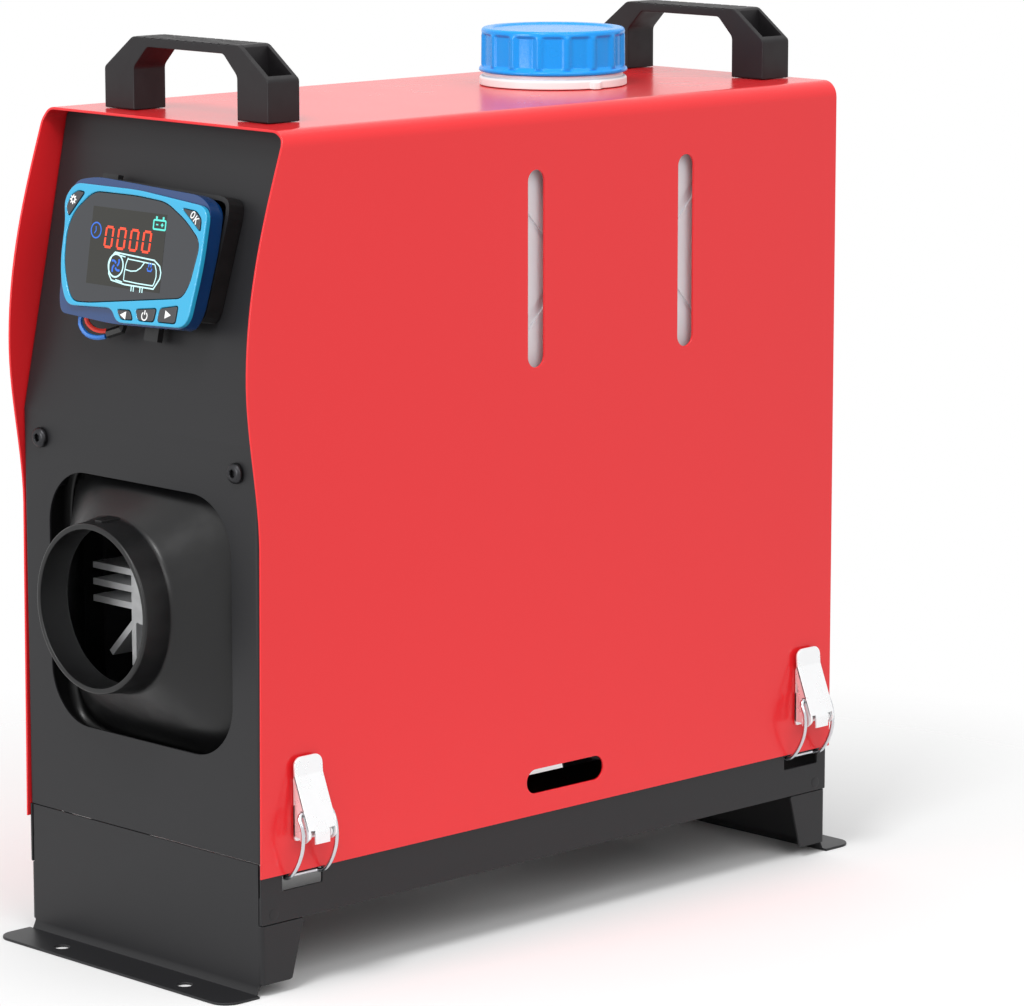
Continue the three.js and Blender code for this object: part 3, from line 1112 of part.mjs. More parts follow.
for (const { side, y, name } of latchPlaces()) {
  const latch = new THREE.Group();
  latch.position.set(side * hoodX, y, 0);
  latch.rotation.z = side > 0 ? 0 : Math.PI;
  heater.add(latch);
  add(latch, `latch_lever_${name}`, latchLever(), ZINC, 0.3, 1);
  add(latch, `latch_bail_${name}`, latchBail(), ZINC, 0.25, 1);
  add(latch, `latch_base_${name}`, latchBase(), ZINC, 0.35, 1);
}

add(heater, 'core_lower_shell', coreShell(false), DARK, 0.6);
add(heater, 'core_upper_shell', coreShell(true), DARK, 0.6);
add(heater, 'heat_exchanger', heatExchanger(), ALUMINIUM, 0.45, 1);
add(heater, 'pad_gasket', padGasket(), DARK, 0.9);
add(heater, 'burner', burner(), STEEL, 0.4, 1);
add(heater, 'glow_plug', glowPlug(), STEEL, 0.35, 1);
add(heater, 'blower_motor', blowerHousing(), ALUMINIUM, 0.4, 1);
add(heater, 'combustion_impeller', combustionImpeller(), ALUMINIUM, 0.4, 1);
add(heater, 'fan_wheel', fanWheel(), DARK, 0.5);
add(heater, 'control_board', controlBoard(), GREEN, 0.5);
add(heater, 'intake_grille', intakeGrille(), DARK, 0.6);

const pump = new THREE.Group();
pump.position.set(PUMP.x, PUMP.y, PUMP.z);
pump.rotation.x = -THREE.MathUtils.degToRad(PUMP.tilt);
heater.add(pump);
add(pump, 'fuel_pump', fuelPump(), ALUMINIUM, 0.35, 1);
add(pump, 'pump_mount', pumpMount(), DARK, 0.85);
add(heater, 'fuel_filter', fuelFilter(), NATURAL, 0.3);
add(heater, 'hose_filter_to_pump', filterHose(), DARK, 0.6);
add(heater, 'hose_pump_to_burner', burnerHose(), DARK, 0.6);

const controller = new THREE.Group();
controller.position.set(0, panelFront, PANEL_BEND_Z);
controller.rotation.x = -lean;
heater.add(controller);
add(controller, 'controller_bezel', controllerBezel(), CYAN, 0.3);
add(controller, 'controller_housing', controllerHousing(), NAVY, 0.35);
add(controller, 'controller_window', controllerWindow(), GLASS, 0.15);
add(controller, 'display_board', displayBoard(), GREEN, 0.5);
for (const [name, points] of Object.entries(buttonOutlines)) {
  add(controller, name, pushButton(points), GLASS, 0.4);
}
add(controller, 'controller_bracket', controllerBracket(), DARK, 0.6);
for (const [name, color, points] of slack) {
  add(controller, name, tube(points.map(([x, off, up]) => [x, -off, up]), WIRE, 14, 6), color, 0.5);
}
add(heater, 'controller_cable', controllerCable(), DARK, 0.6);

// the outlet collar reaches further forward than the rear foot reaches back
const front = SPOUT.rim;
const back = panelRear + FOOT.flange;
heater.position.y = -(front + back) / 2;
export default heater;
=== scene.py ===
"""Portable diesel air heater: its finish, folded sheets, moulded pieces and small parts, in metres."""
import math

import bpy
import numpy as np
from bpy.props import FloatProperty, FloatVectorProperty, IntProperty, PointerProperty, StringProperty
from mathutils import Matrix, Vector
from mathutils.geometry import delaunay_2d_cdt


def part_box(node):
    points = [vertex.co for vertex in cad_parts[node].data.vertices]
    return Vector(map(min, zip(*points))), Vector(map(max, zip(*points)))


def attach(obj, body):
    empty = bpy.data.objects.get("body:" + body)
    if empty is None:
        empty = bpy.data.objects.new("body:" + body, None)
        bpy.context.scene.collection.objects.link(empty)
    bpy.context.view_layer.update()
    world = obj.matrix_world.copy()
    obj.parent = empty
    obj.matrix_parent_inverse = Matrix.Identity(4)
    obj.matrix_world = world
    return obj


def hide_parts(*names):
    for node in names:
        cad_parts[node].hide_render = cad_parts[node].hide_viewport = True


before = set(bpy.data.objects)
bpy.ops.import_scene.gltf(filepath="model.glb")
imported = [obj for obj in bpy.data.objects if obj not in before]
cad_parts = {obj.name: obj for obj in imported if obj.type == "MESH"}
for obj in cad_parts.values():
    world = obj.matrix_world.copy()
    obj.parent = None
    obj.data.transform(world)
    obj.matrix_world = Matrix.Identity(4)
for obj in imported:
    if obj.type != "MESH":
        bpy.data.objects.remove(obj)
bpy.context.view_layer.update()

bl_info = {
    "name": "Diesel air heater",
    "version": (1, 0, 0),
    "blender": (4, 5, 0),
    "location": "View3D > Sidebar > Heater",
    "description": "Dresses the frame of a portable diesel air heater and lights it",
    "category": "Object",
}

MM = 0.001                      # every shape below is worked out in millimetres
QUARTER = math.pi / 2
ALMOST = 0.02                   # keeps the two half circles of a slot's end from meeting in one point


def node_box(name):
    """Lowest and highest corner of a frame node, in millimetres."""
    low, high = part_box(name)
    return np.array(low) / MM, np.array(high) / MM


HOOD_LOW, HOOD_HIGH = node_box("hood")
PANEL_LOW, PANEL_HIGH = node_box("front_panel")
CAP_LOW, CAP_HIGH = node_box("filler_cap")
RAIL_HIGH = node_box("right_rail")[1]

# The shapes are drawn with y = 0 at the middle of the case, and make_piece moves them there.
CASE_HALF = 180.0
MIDDLE_Y = HOOD_HIGH[1] - CASE_HALF
GAP = 0.3                       # clearance between pieces
SHEET = 1.2                     # case and base sheet
CASE_X = HOOD_HIGH[0]
CASE_BOTTOM, CASE_TOP = HOOD_LOW[2], HOOD_HIGH[2]
HOOD_BEND = 7.5                 # outer radius of the two long top edges
PANEL_FACE = PANEL_LOW[1] - MIDDLE_Y
PANEL_X = PANEL_HIGH[0]
PANEL_BEND_Z = 238.0
LEAN = math.radians(11.8)
RAIL_X = RAIL_HIGH[0]
RAIL_TOP = RAIL_HIGH[2]
CAP_Y = (CAP_LOW[1] + CAP_HIGH[1]) / 2 - MIDDLE_Y
CAP_RADIUS = (CAP_HIGH[0] - CAP_LOW[0]) / 2
LEVEL_SLOTS = [-16.5, 78.5]     # y of the two slots in each side of the hood
LEVEL_SLOT_Z = (255.5, 343.0)
LEVEL_SLOT_HALF = 5.0
CABLE_SLOT = {"y": 2.1, "half": 24.25, "low": 62.5, "high": 73.5}
FILLER_HOLE = 30.8
PANEL_SCREW_X, PANEL_SCREW_Z = 65.5, 226.0
SCREW_HOLE = 2.8                # for the duct's and the handles' screws
HANDLE_SCREW_X = 44.0
LATCH_YS = [-155.5, 161.5]
RIVET_ZS = (78.0, 89.0)         # of each latch base
RIVET_HOLE = 1.9
FOOT_RIVET = (7.0, 35.5)        # behind the foot's face, and z
HANDLE_YS = [-140.5, 166.0]


# ---------------------------------------------------------------- settings a user would change
def hex_colour(text):
    """A colour written as sRGB hex, turned to the linear values that a shader takes."""
    values = [int(text[i:i + 2], 16) / 255 for i in (1, 3, 5)]
    return tuple(v / 12.92 if v <= 0.04045 else ((v + 0.055) / 1.055) ** 2.4 for v in values)


def colour_property(name, text):
    return FloatVectorProperty(name=name, description=f"{name}, linear", subtype="COLOR",
                               size=3, min=0, max=1, default=hex_colour(text))


def length_property(name, description, millimetres):
    return FloatProperty(name=name, description=description, unit="LENGTH", default=millimetres * MM)


class HeaterCaseSettings(bpy.types.PropertyGroup):
    """Sheets, handles, duct and base."""
    hood: colour_property("Hood powder coat", "#E6242A")
    panel: colour_property("Panel powder coat", "#1D1D1F")
    duct: colour_property("Duct plastic", "#101011")
    handle: colour_property("Handle plastic", "#1C1A1C")
    edge: length_property("Sheet edge", "Radius to which the powder coat rounds a sheet's edge", 0.3)
    cap: colour_property("Filler cap", "#0098F2")
    ribs: IntProperty(name="Cap ribs", description="Grip ribs round the filler cap", default=16, min=6,
                      max=40)


class HeaterControllerSettings(bpy.types.PropertyGroup):
    """The controller on the front panel."""
    bezel: colour_property("Bezel", "#27A6D2")
    housing: colour_property("Housing", "#0C376B")
    glass: colour_property("Window", "#35373B")
    digits: StringProperty(name="Digits", description="What the display shows", default="0000")
    lit: FloatProperty(name="Display strength", description="Light of the digits", default=1.2, min=0)


class HeaterStageSettings(bpy.types.PropertyGroup):
    """Camera, lamps and floor."""
    lens: FloatProperty(name="Lens", description="Focal length", unit="CAMERA", default=163.6)
    key: FloatProperty(name="Key light", description="Power of the main lamp", unit="POWER", default=23,
                       min=0)
    backdrop: FloatProperty(name="Backdrop", description="Brightness of the white surroundings", default=1,
                            min=0)


# ---------------------------------------------------------------- numpy shapes
def unit(vectors):
    return vectors / np.maximum(np.linalg.norm(vectors, axis=-1, keepdims=True), 1e-12)


def arc(centre, radius, start, end, count):
    """Points on a circle round the centre, from one angle in degrees to another."""
    angles = np.radians(np.linspace(start, end, count))
    return np.column_stack([centre[0] + radius * np.cos(angles), centre[1] + radius * np.sin(angles)])


def circle(centre, radius, count=32):
    return arc(centre, radius, 0, 360, count + 1)[:-1]


def round_rectangle(x0, x1, y0, y1, radius, count=8):
    """Counter-clockwise rectangle with quarter circles at its corners."""
    return np.vstack([
        arc((x1 - radius, y0 + radius), radius, -90, 0, count),
        arc((x1 - radius, y1 - radius), radius, 0, 90, count),
        arc((x0 + radius, y1 - radius), radius, 90, 180, count),
        arc((x0 + radius, y0 + radius), radius, 180, 270, count)])


def area(loop):
    """Signed area of a closed loop, positive when it runs counter-clockwise."""
    ahead = np.roll(loop, -1, 0)
    return 0.5 * (loop[:, 0] * ahead[:, 1] - loop[:, 1] * ahead[:, 0]).sum()


def soft_corners(points, reaches, count=6):
    """Each corner becomes a quadratic curve that starts and ends at its reach from the corner:
    (1 - t)^2 start + 2 t (1 - t) corner + t^2 end."""
    points = np.asarray(points, float)
    reaches = np.broadcast_to(np.asarray(reaches, float), len(points))
    before, after = np.roll(points, 1, 0) - points, np.roll(points, -1, 0) - points
    limit = 0.48 * np.minimum(np.linalg.norm(before, axis=1), np.linalg.norm(after, axis=1))
    reach = np.minimum(reaches, limit)[:, None]
    start, end = points + unit(before) * reach, points + unit(after) * reach
    t = np.linspace(0, 1, count)[None, :, None]
    curve = (1 - t) ** 2 * start[:, None] + 2 * t * (1 - t) * points[:, None] + t ** 2 * end[:, None]
    return curve.reshape(-1, 2)


def offset_loop(loop, distance):
    """Each edge of a closed loop moves by the distance to its left, and each point to where they meet."""
    into, out = unit(loop - np.roll(loop, 1, 0)), unit(np.roll(loop, -1, 0) - loop)
    left_in = np.column_stack([-into[:, 1], into[:, 0]])
    left_out = np.column_stack([-out[:, 1], out[:, 0]])
    middle = unit(left_in + left_out)
    return loop + middle * (distance / np.maximum(0.4, (middle * left_in).sum(1)))[:, None]


def inside(points, loops):
    """Even-odd test: a ray to +x crosses the loops an odd number of times."""
    hit = np.zeros(len(points), bool)
    for loop in loops:
        a, b = loop, np.roll(loop, -1, 0)
        crosses = (a[None, :, 1] > points[:, None, 1]) != (b[None, :, 1] > points[:, None, 1])
        rise = np.where(b[:, 1] == a[:, 1], 1e-12, b[:, 1] - a[:, 1])
        x = a[None, :, 0] + (points[:, None, 1] - a[None, :, 1]) * ((b - a)[:, 0] / rise)[None]
        hit ^= ((crosses & (points[:, None, 0] < x)).sum(1) % 2).astype(bool)
    return hit


def fill(loops, links=()):
    """Triangles between closed loops, counter-clockwise; links are fold lines between their points. Returns
    the points where fold lines cross, which follow the loops' own points, and the triangles."""
    points = np.vstack(loops)
    edges, start = list(links), 0
    for loop in loops:
        n = len(loop)
        edges += [(start + i, start + (i + 1) % n) for i in range(n)]
        start += n
    made = delaunay_2d_cdt([Vector(p) for p in points], edges, [], 0, 1e-6)
    if any(len(source) > 1 for source in made[3]):
        raise RuntimeError("two points of a flat pattern coincide")
    new = [i for i, source in enumerate(made[3]) if not source]
    number = {i: len(points) + k for k, i in enumerate(new)}
    order = np.array([source[0] if source else number[i] for i, source in enumerate(made[3])])
    crossings = np.array([made[0][i][:] for i in new]).reshape(-1, 2)
    faces = order[np.array(made[2])]
    corners = np.vstack([points, crossings])[faces]
    keep = inside(corners.mean(1), loops)
    faces, corners = faces[keep], corners[keep]
    a, b = corners[:, 1] - corners[:, 0], corners[:, 2] - corners[:, 0]
    turned = a[:, 0] * b[:, 1] - a[:, 1] * b[:, 0] < 0
    faces[turned] = faces[turned][:, ::-1]
    return crossings, faces


def plate(loops, thickness, place, edge=0.3, back_edge=None, links=(), steps=2):
    """A flat pattern with thickness. Outer loops run counter-clockwise, holes clockwise. The front lies at
    depth 0 and the back at the thickness; between them the loop is drawn in by edge * (1 - sin a) at the
    depth edge * (1 - cos a), so that both rims are rounded. place(u, v, depth) folds it into the part."""
    back_edge = edge if back_edge is None else back_edge
    front = np.linspace(0, QUARTER, steps + 1) if edge else np.array([QUARTER])
    back = np.linspace(0, QUARTER, steps + 1) if back_edge else np.array([QUARTER])
    insets = np.concatenate([edge * (1 - np.sin(front)), back_edge * (1 - np.sin(back[::-1]))])
    depths = np.concatenate([edge * (1 - np.cos(front)) if edge else [0.0],
                             thickness - (back_edge * (1 - np.cos(back[::-1])) if back_edge else 0.0)
                             + np.zeros(len(back))])
    loops = [np.asarray(loop, float) for loop in loops]
    count = sum(len(loop) for loop in loops)
    rings = [[offset_loop(loop, inset) for loop in loops] for inset in insets]
    crossings, cover = fill(rings[0], links)
    uv = np.vstack([np.vstack(ring) for ring in rings] + [crossings, crossings])
    depth = np.concatenate([np.repeat(depths, count), np.zeros(len(crossings)),
                            np.full(len(crossings), thickness)])
    points = place(uv[:, 0], uv[:, 1], depth)
    inner = len(insets) * count
    front_cover = np.where(cover < count, cover, cover - count + inner)
    back_cover = np.where(cover < count, cover + inner - count, cover - count + inner + len(crossings))
    here = np.arange(count)
    ahead, start = np.empty(count, int), 0
    for loop in loops:
        n = len(loop)
        ahead[start:start + n] = start + (np.arange(n) + 1) % n
        start += n
    walls = [np.column_stack([here + j * count, here + (j + 1) * count,
                              ahead + (j + 1) * count, ahead + j * count]) for j in range(len(insets) - 1)]
    return points, [front_cover, back_cover[:, ::-1], np.vstack(walls)]


def pattern(us, vs, low, high, folds_u=(), folds_v=()):
    """Outline between v = low(u) and v = high(u) with a point at each u, and at each v on its two ends.
    Also the links for the fold lines at the given values."""

    def nearest(values, value):
        return int(np.argmin(abs(values - value)))
    us, vs = np.asarray(us, float), np.asarray(vs, float)
    n, m = len(us), len(vs)
    loop = np.vstack([
        np.column_stack([us, low(us)]), np.column_stack([np.full(m, us[-1]), vs]),
        np.column_stack([us, high(us)])[::-1], np.column_stack([np.full(m, us[0]), vs])[::-1]])
    links = [(nearest(us, u), 2 * n + m - 1 - nearest(us, u)) for u in folds_u]
    links += [(n + nearest(vs, v), 2 * n + 2 * m - 1 - nearest(vs, v)) for v in folds_v]
    return loop, links


def grid(points, closed_rows=False, closed_columns=True):
    """Quads between the rows of an (m, n, 3) array; rows follow the profile and columns go round."""
    m, n = points.shape[:2]
    index = np.arange(m * n).reshape(m, n)
    if closed_rows:
        index = np.vstack([index, index[:1]])
    if closed_columns:
        index = np.hstack([index, index[:, :1]])
    a, b, c, d = index[:-1, :-1], index[1:, :-1], index[1:, 1:], index[:-1, 1:]
    return points.reshape(-1, 3), [np.stack([a, b, c, d], -1).reshape(-1, 4)]


def moved(shell, rotation=None, shift=(0, 0, 0), mirror_x=False):
    points = shell[0] if rotation is None else shell[0] @ np.asarray(rotation).T
    points = points + np.asarray(shift, float)
    return points * [-1 if mirror_x else 1, 1, 1], shell[1]


def outward(shell):
    """Turns the faces of a closed shell round if its volume, a sixth of the sum of a . (b x c) over its
    triangles, is negative."""
    points, groups = shell
    volume = 0.0
    for faces in groups:
        for i in range(1, faces.shape[1] - 1):
            a, b, c = points[faces[:, 0]], points[faces[:, i]], points[faces[:, i + 1]]
            volume += np.einsum("ij,ij->", a, np.cross(b, c))
    return shell if volume > 0 else (points, [faces[:, ::-1] for faces in groups])


ALONG_X = np.array([[0, 0, 1], [0, 1, 0], [-1, 0, 0]], float)     # z of a drawn piece becomes x
ALONG_Y = np.array([[1, 0, 0], [0, 0, 1], [0, -1, 0]], float)     # z becomes y
TO_FRONT = np.array([[1, 0, 0], [0, 0, -1], [0, 1, 0]], float)    # z becomes -y


def spin(radii, heights, tips=None, columns=48):
    """Rings round z, (r cos t, r sin t, h): ring i has the radius radii[i], a number or one for each column,
    at heights[i]. The tips are two heights on the axis that close its ends; without them the last ring
    joins the first."""
    turn = np.linspace(0, 2 * math.pi, columns, endpoint=False)
    r = np.array([np.broadcast_to(value, columns) for value in radii], float)
    h = np.array([np.broadcast_to(value, columns) for value in heights], float)
    points = np.stack([r * np.cos(turn), r * np.sin(turn), h], -1)
    flat, faces = grid(points, closed_rows=tips is None)
    if tips is None:
        return flat, faces
    ends = np.array([[0, 0, tips[0]], [0, 0, tips[1]]], float)
    return np.vstack([flat, ends]), faces + end_fans(len(r), columns)


def end_fans(rows, columns):
    """Triangles from the first row to the point after the grid's own, and from the last row to the next."""
    ring = np.arange(columns)
    ahead = (ring + 1) % columns
    last = (rows - 1) * columns
    return [np.column_stack([np.full(columns, rows * columns), ahead, ring]),
            np.column_stack([np.full(columns, rows * columns + 1), ring + last, ahead + last])]


def lathe(profile, columns=48):
    """Profile points (radius, height) round z. It starts and ends on the axis, or closes on itself."""
    profile = np.asarray(profile, float)
    if profile[0, 0] < 1e-6 and profile[-1, 0] < 1e-6:
        inner = profile[1:-1]
        return spin(inner[:, 0], inner[:, 1], (profile[0, 1], profile[-1, 1]), columns)
    return spin(profile[:, 0], profile[:, 1], None, columns)


def rounded_profile(points, reach, count=4):
    """An open profile with soft inner corners; its two ends stay."""
    points = np.asarray(points, float)
    reaches = np.full(len(points), float(reach))
    reaches[[0, -1]] = 0
    curve = soft_corners(points, reaches, count).reshape(len(points), count, 2)
    return np.vstack([curve[0, :1], curve[1:-1].reshape(-1, 2), curve[-1, :1]])


def smooth_path(points, count):
    """Centripetal Catmull-Rom curve through the points, at even steps of its own length."""
    p = np.asarray(points, float)
    p = np.vstack([2 * p[0] - p[1], p, 2 * p[-1] - p[-2]])
    knots = np.concatenate([[0], np.cumsum(np.linalg.norm(np.diff(p, axis=0), axis=1) ** 0.5)])
    t = np.linspace(knots[1], knots[-2], 40 * len(p))
    k = np.clip(np.searchsorted(knots, t, side="right") - 1, 1, len(p) - 3)

    def between(a, b, ta, tb):
        s = ((t - ta) / (tb - ta))[:, None]
        return a * (1 - s) + b * s
    t0, t1, t2, t3 = (knots[k + i] for i in (-1, 0, 1, 2))
    a1, a2, a3 = (between(p[k + i], p[k + i + 1], ta, tb)
                  for i, ta, tb in ((-1, t0, t1), (0, t1, t2), (1, t2, t3)))
    b1, b2 = between(a1, a2, t0, t2), between(a2, a3, t1, t3)
    curve = between(b1, b2, t1, t2)
    length = np.concatenate([[0], np.cumsum(np.linalg.norm(np.diff(curve, axis=0), axis=1))])
    even = np.linspace(0, length[-1], count)
    return np.column_stack([np.interp(even, length, curve[:, i]) for i in range(3)])


def tube(path, radius, sides=16):
    """A round section carried along a path without twisting, its ends drawn to a soft dome."""
    path = np.asarray(path, float)
    along = unit(np.gradient(path, axis=0))
    side = np.empty_like(path)
    seed = np.cross(along[0], [0.0, 0.0, 1.0])
    side[0] = unit(seed if np.linalg.norm(seed) > 0.1 else np.cross(along[0], [1.0, 0.0, 0.0]))
    for i in range(1, len(path)):
        side[i] = unit(side[i - 1] - along[i] * (side[i - 1] @ along[i]))
    other = np.cross(along, side)
    radius = np.broadcast_to(np.asarray(radius, float), len(path))
    dome = [(0.5, 0.12), (0.43, 0.5), (0.25, 0.86)]
    rows = [(path[0] - along[0] * radius[0] * out, radius[0] * shrink, 0) for out, shrink in dome]
    rows += [(path[i], radius[i], i) for i in range(len(path))]
    rows += [(path[-1] + along[-1] * radius[-1] * out, radius[-1] * shrink, -1) for out, shrink in dome[::-1]]
    centre = np.array([row[0] for row in rows])
    size = np.array([row[1] for row in rows])
    source = [row[2] for row in rows]
    a, b = side[source], other[source]
    turn = np.linspace(0, 2 * math.pi, sides, endpoint=False)
    points = centre[:, None] + size[:, None, None] * (
        np.cos(turn)[None, :, None] * a[:, None] + np.sin(turn)[None, :, None] * b[:, None])
    flat, faces = grid(points)
    ends = np.vstack([centre[0] - along[0] * 0.02, centre[-1] + along[-1] * 0.02])
    return np.vstack([flat, ends]), faces + end_fans(len(centre), sides)


def follow(path, start, heading, along, across, side):
    """Point at a length along straight runs and bends, moved across to one side (1 left, -1 right).
    path holds (length, turn in radians); a bend of length s and turn t has the radius s / |t|."""
    along, across = np.broadcast_arrays(np.asarray(along, float), np.asarray(across, float))
    out = np.zeros(along.shape + (2,))
    place, angle, done = np.array(start, float), heading, 0.0
    for i, (length, turn) in enumerate(path):
        low = -np.inf if i == 0 else done
        high = np.inf if i == len(path) - 1 else done + length
        mine = (along >= low) & (along <= high)
        t = along[mine] - done
        bent = angle + (turn * t / length if turn else 0 * t)
        left = np.column_stack([-np.sin(bent), np.cos(bent)])
        if turn:
            radius = length / turn
            centre = place + radius * np.array([-math.sin(angle), math.cos(angle)])
            where = centre - radius * left
        else:
            where = place + t[:, None] * np.array([math.cos(angle), math.sin(angle)])
        out[mine] = where + side * across[mine][:, None] * left
        if turn:
            place = centre - radius * np.array([-math.sin(angle + turn), math.cos(angle + turn)])
        else:
            place = place + length * np.array([math.cos(angle), math.sin(angle)])
        angle += turn
        done += length
    return out


def make_piece(name, shells, material, body="case", replaces=(), sharp=50):
    """One mesh object from closed shells in millimetres, smooth up to an angle, riding on a body."""
    points, faces, start = [], [], 0
    for shell_points, shell_faces in map(outward, shells):
        points.append(shell_points)
        for group in shell_faces:
            faces += (np.asarray(group) + start).tolist()
        start += len(shell_points)
    points = np.vstack(points) + [0, MIDDLE_Y, 0]
    mesh = bpy.data.meshes.new(name)
    mesh.from_pydata(points * MM, [], faces)
    if mesh.validate():
        raise RuntimeError(f"{name} has broken faces")
    mesh.polygons.foreach_set("use_smooth", np.ones(len(mesh.polygons), bool))
    mesh.set_sharp_from_angle(angle=math.radians(sharp))
    mesh.materials.append(material)
    piece = bpy.data.objects.new(name, mesh)
    bpy.context.scene.collection.objects.link(piece)
    weigh = piece.modifiers.new("Face weights", "WEIGHTED_NORMAL")
    weigh.keep_sharp = True
    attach(piece, body)
    if replaces:
        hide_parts(*replaces)
    return piece


# ---------------------------------------------------------------- hood and panels
def wave(z):
    """Setback of the hood's front edge: straight up to z = 195, then two Bezier curves in (setback, z)."""
    t = np.linspace(0, 1, 24)[:, None]
    curves = []
    for a, b, c, d in (((1.3, 195), (1.3, 218), (-5.2, 242), (-5.2, 265)),
                       ((-5.2, 265), (-5.2, 305), (6.5, 337), (16.5, 367))):
        a, b, c, d = (np.array(p, float) for p in (a, b, c, d))
        curves.append((1 - t) ** 3 * a + 3 * t * (1 - t) ** 2 * b + 3 * t ** 2 * (1 - t) * c + t ** 3 * d)
    curve = np.vstack([[[0, CASE_BOTTOM]], *curves])
    return np.interp(z, curve[:, 1], curve[:, 0])


def hood_shell(edge):
    """One sheet folded over two bends: its outer face runs up the left side, over the top and down."""
    rise, across = CASE_TOP - HOOD_BEND - CASE_BOTTOM, 2 * (CASE_X - HOOD_BEND)
    bend = HOOD_BEND * QUARTER
    path = [(rise, 0), (bend, -QUARTER), (across, 0), (bend, -QUARTER), (rise, 0)]
    total = 2 * (rise + bend) + across

    def place(u, v, depth):
        xz = follow(path, (-CASE_X, CASE_BOTTOM), QUARTER, u, depth, -1)
        return np.column_stack([xz[:, 0], v, xz[:, 1]])

    side = np.concatenate([np.linspace(0, 130, 6), np.linspace(142.5, rise, 30)])
    fold = np.linspace(rise, rise + bend, 9)
    left = np.concatenate([side, fold[1:]])
    us = np.concatenate([left, (total - left)[::-1]])

    def front(u):
        return -CASE_HALF + wave(follow(path, (-CASE_X, CASE_BOTTOM), QUARTER, u, 0 * u, -1)[:, 1])
    outline, links = pattern(us, [], front, lambda u: 0 * u + CASE_HALF,
                             folds_u=np.concatenate([fold, total - fold]))
    holes = [circle((total / 2, CAP_Y), FILLER_HOLE, 72)]
    holes += [circle((total / 2 + x, y), SCREW_HOLE, 20)
              for x in (-HANDLE_SCREW_X, HANDLE_SCREW_X) for y in HANDLE_YS]
    for turn in (lambda z: z - CASE_BOTTOM, lambda z: total - (z - CASE_BOTTOM)):
        for y in LEVEL_SLOTS:
            a, b = sorted(turn(z) for z in LEVEL_SLOT_Z)
            holes.append(round_rectangle(a, b, y - LEVEL_SLOT_HALF, y + LEVEL_SLOT_HALF,
                                         LEVEL_SLOT_HALF - ALMOST, 9))
        a, b = sorted((turn(CABLE_SLOT["low"]), turn(CABLE_SLOT["high"])))
        holes.append(round_rectangle(a, b, CABLE_SLOT["y"] - CABLE_SLOT["half"],
                                     CABLE_SLOT["y"] + CABLE_SLOT["half"], (b - a) / 2 - ALMOST, 9))
        holes += [circle((turn(z), y), RIVET_HOLE, 12) for y in LATCH_YS for z in RIVET_ZS]
    return plate([outline] + [hole[::-1] for hole in holes], SHEET, place, edge, links=links)


PANEL_LOW_Z = PANEL_LOW[2]
PANEL_TOP = CASE_TOP - SHEET - GAP
FLANGE = 12.0
LEAN_RADIUS = 5.0
GROMMET_X, GROMMET_UP, GROMMET_HOLE = -12.0, 52.0, 5.0   # where the controller's sleeve goes in


def lean_run(v):
    """(y, z) of the front panel's face: up to the bend, round it and up the leaning part."""
    tangent = LEAN_RADIUS * math.tan(LEAN / 2)
    path = [(PANEL_BEND_Z - PANEL_LOW_Z - tangent, 0), (LEAN_RADIUS * LEAN, -LEAN), (200, 0)]
    return follow(path, (PANEL_FACE, PANEL_LOW_Z), QUARTER, v, 0 * v, -1)


def window_loop():
    return round_rectangle(-61, 61, 100, 213.5, 25, 16)


def panel_shell(edge, leaning):
    """Sheet with a flange along each side, folded over radius 2; the front one also leans back."""
    bend = 2 * QUARTER
    sides = [(FLANGE - 2, 0), (bend, QUARTER), (2 * PANEL_X - 4, 0), (bend, QUARTER), (FLANGE - 2, 0)]
    total = sum(length for length, turn in sides)
    tangent = LEAN_RADIUS * math.tan(LEAN / 2)
    straight = PANEL_BEND_Z - PANEL_LOW_Z - tangent
    lean_folds = straight + LEAN_RADIUS * LEAN * np.linspace(0, 1, 4) if leaning else []

    def rise(z):
        if not leaning:
            return z - PANEL_LOW_Z
        return np.where(z <= PANEL_BEND_Z, z - PANEL_LOW_Z, straight + LEAN_RADIUS * LEAN
                        + (z - PANEL_BEND_Z) / math.cos(LEAN) - tangent)

    def place(u, v, depth):
        xd = follow(sides, (-PANEL_X, FLANGE), -QUARTER, u, depth, 1)
        yz = lean_run(v) if leaning else np.column_stack([0 * v + PANEL_FACE, v + PANEL_LOW_Z])
        return np.column_stack([xd[:, 0], yz[:, 0] + xd[:, 1], yz[:, 1]])

    def top(u):
        x = abs(follow(sides, (-PANEL_X, FLANGE), -QUARTER, u, 0 * u, 1)[:, 0])
        round_off = HOOD_BEND - SHEET
        over = np.clip(x - (PANEL_X - round_off), 0, round_off)
        return rise(PANEL_TOP - round_off + np.sqrt(np.maximum(0, round_off ** 2 - over ** 2)))
    fold = FLANGE - 2 + np.linspace(0, bend, 5)
    left = np.concatenate([[0], fold, fold[-1] + np.array([0.8, 1.8, 3, 4.4])])
    us = np.concatenate([left, (total - left)[::-1]])
    outline, links = pattern(us, lean_folds, lambda u: 0 * u, top,
                             folds_u=np.concatenate([fold, total - fold]), folds_v=lean_folds)
    middle = total / 2
    holes = [window_loop() + [middle, -PANEL_LOW_Z]]
    if leaning:
        holes += [circle((middle + x, PANEL_SCREW_Z - PANEL_LOW_Z), SCREW_HOLE, 20)
                  for x in (-PANEL_SCREW_X, PANEL_SCREW_X)]
        holes.append(circle((middle + GROMMET_X, straight + LEAN_RADIUS * LEAN + GROMMET_UP - tangent),
                            GROMMET_HOLE, 28))
    return plate([outline] + [hole[::-1] for hole in holes], SHEET, place, edge, links=links)


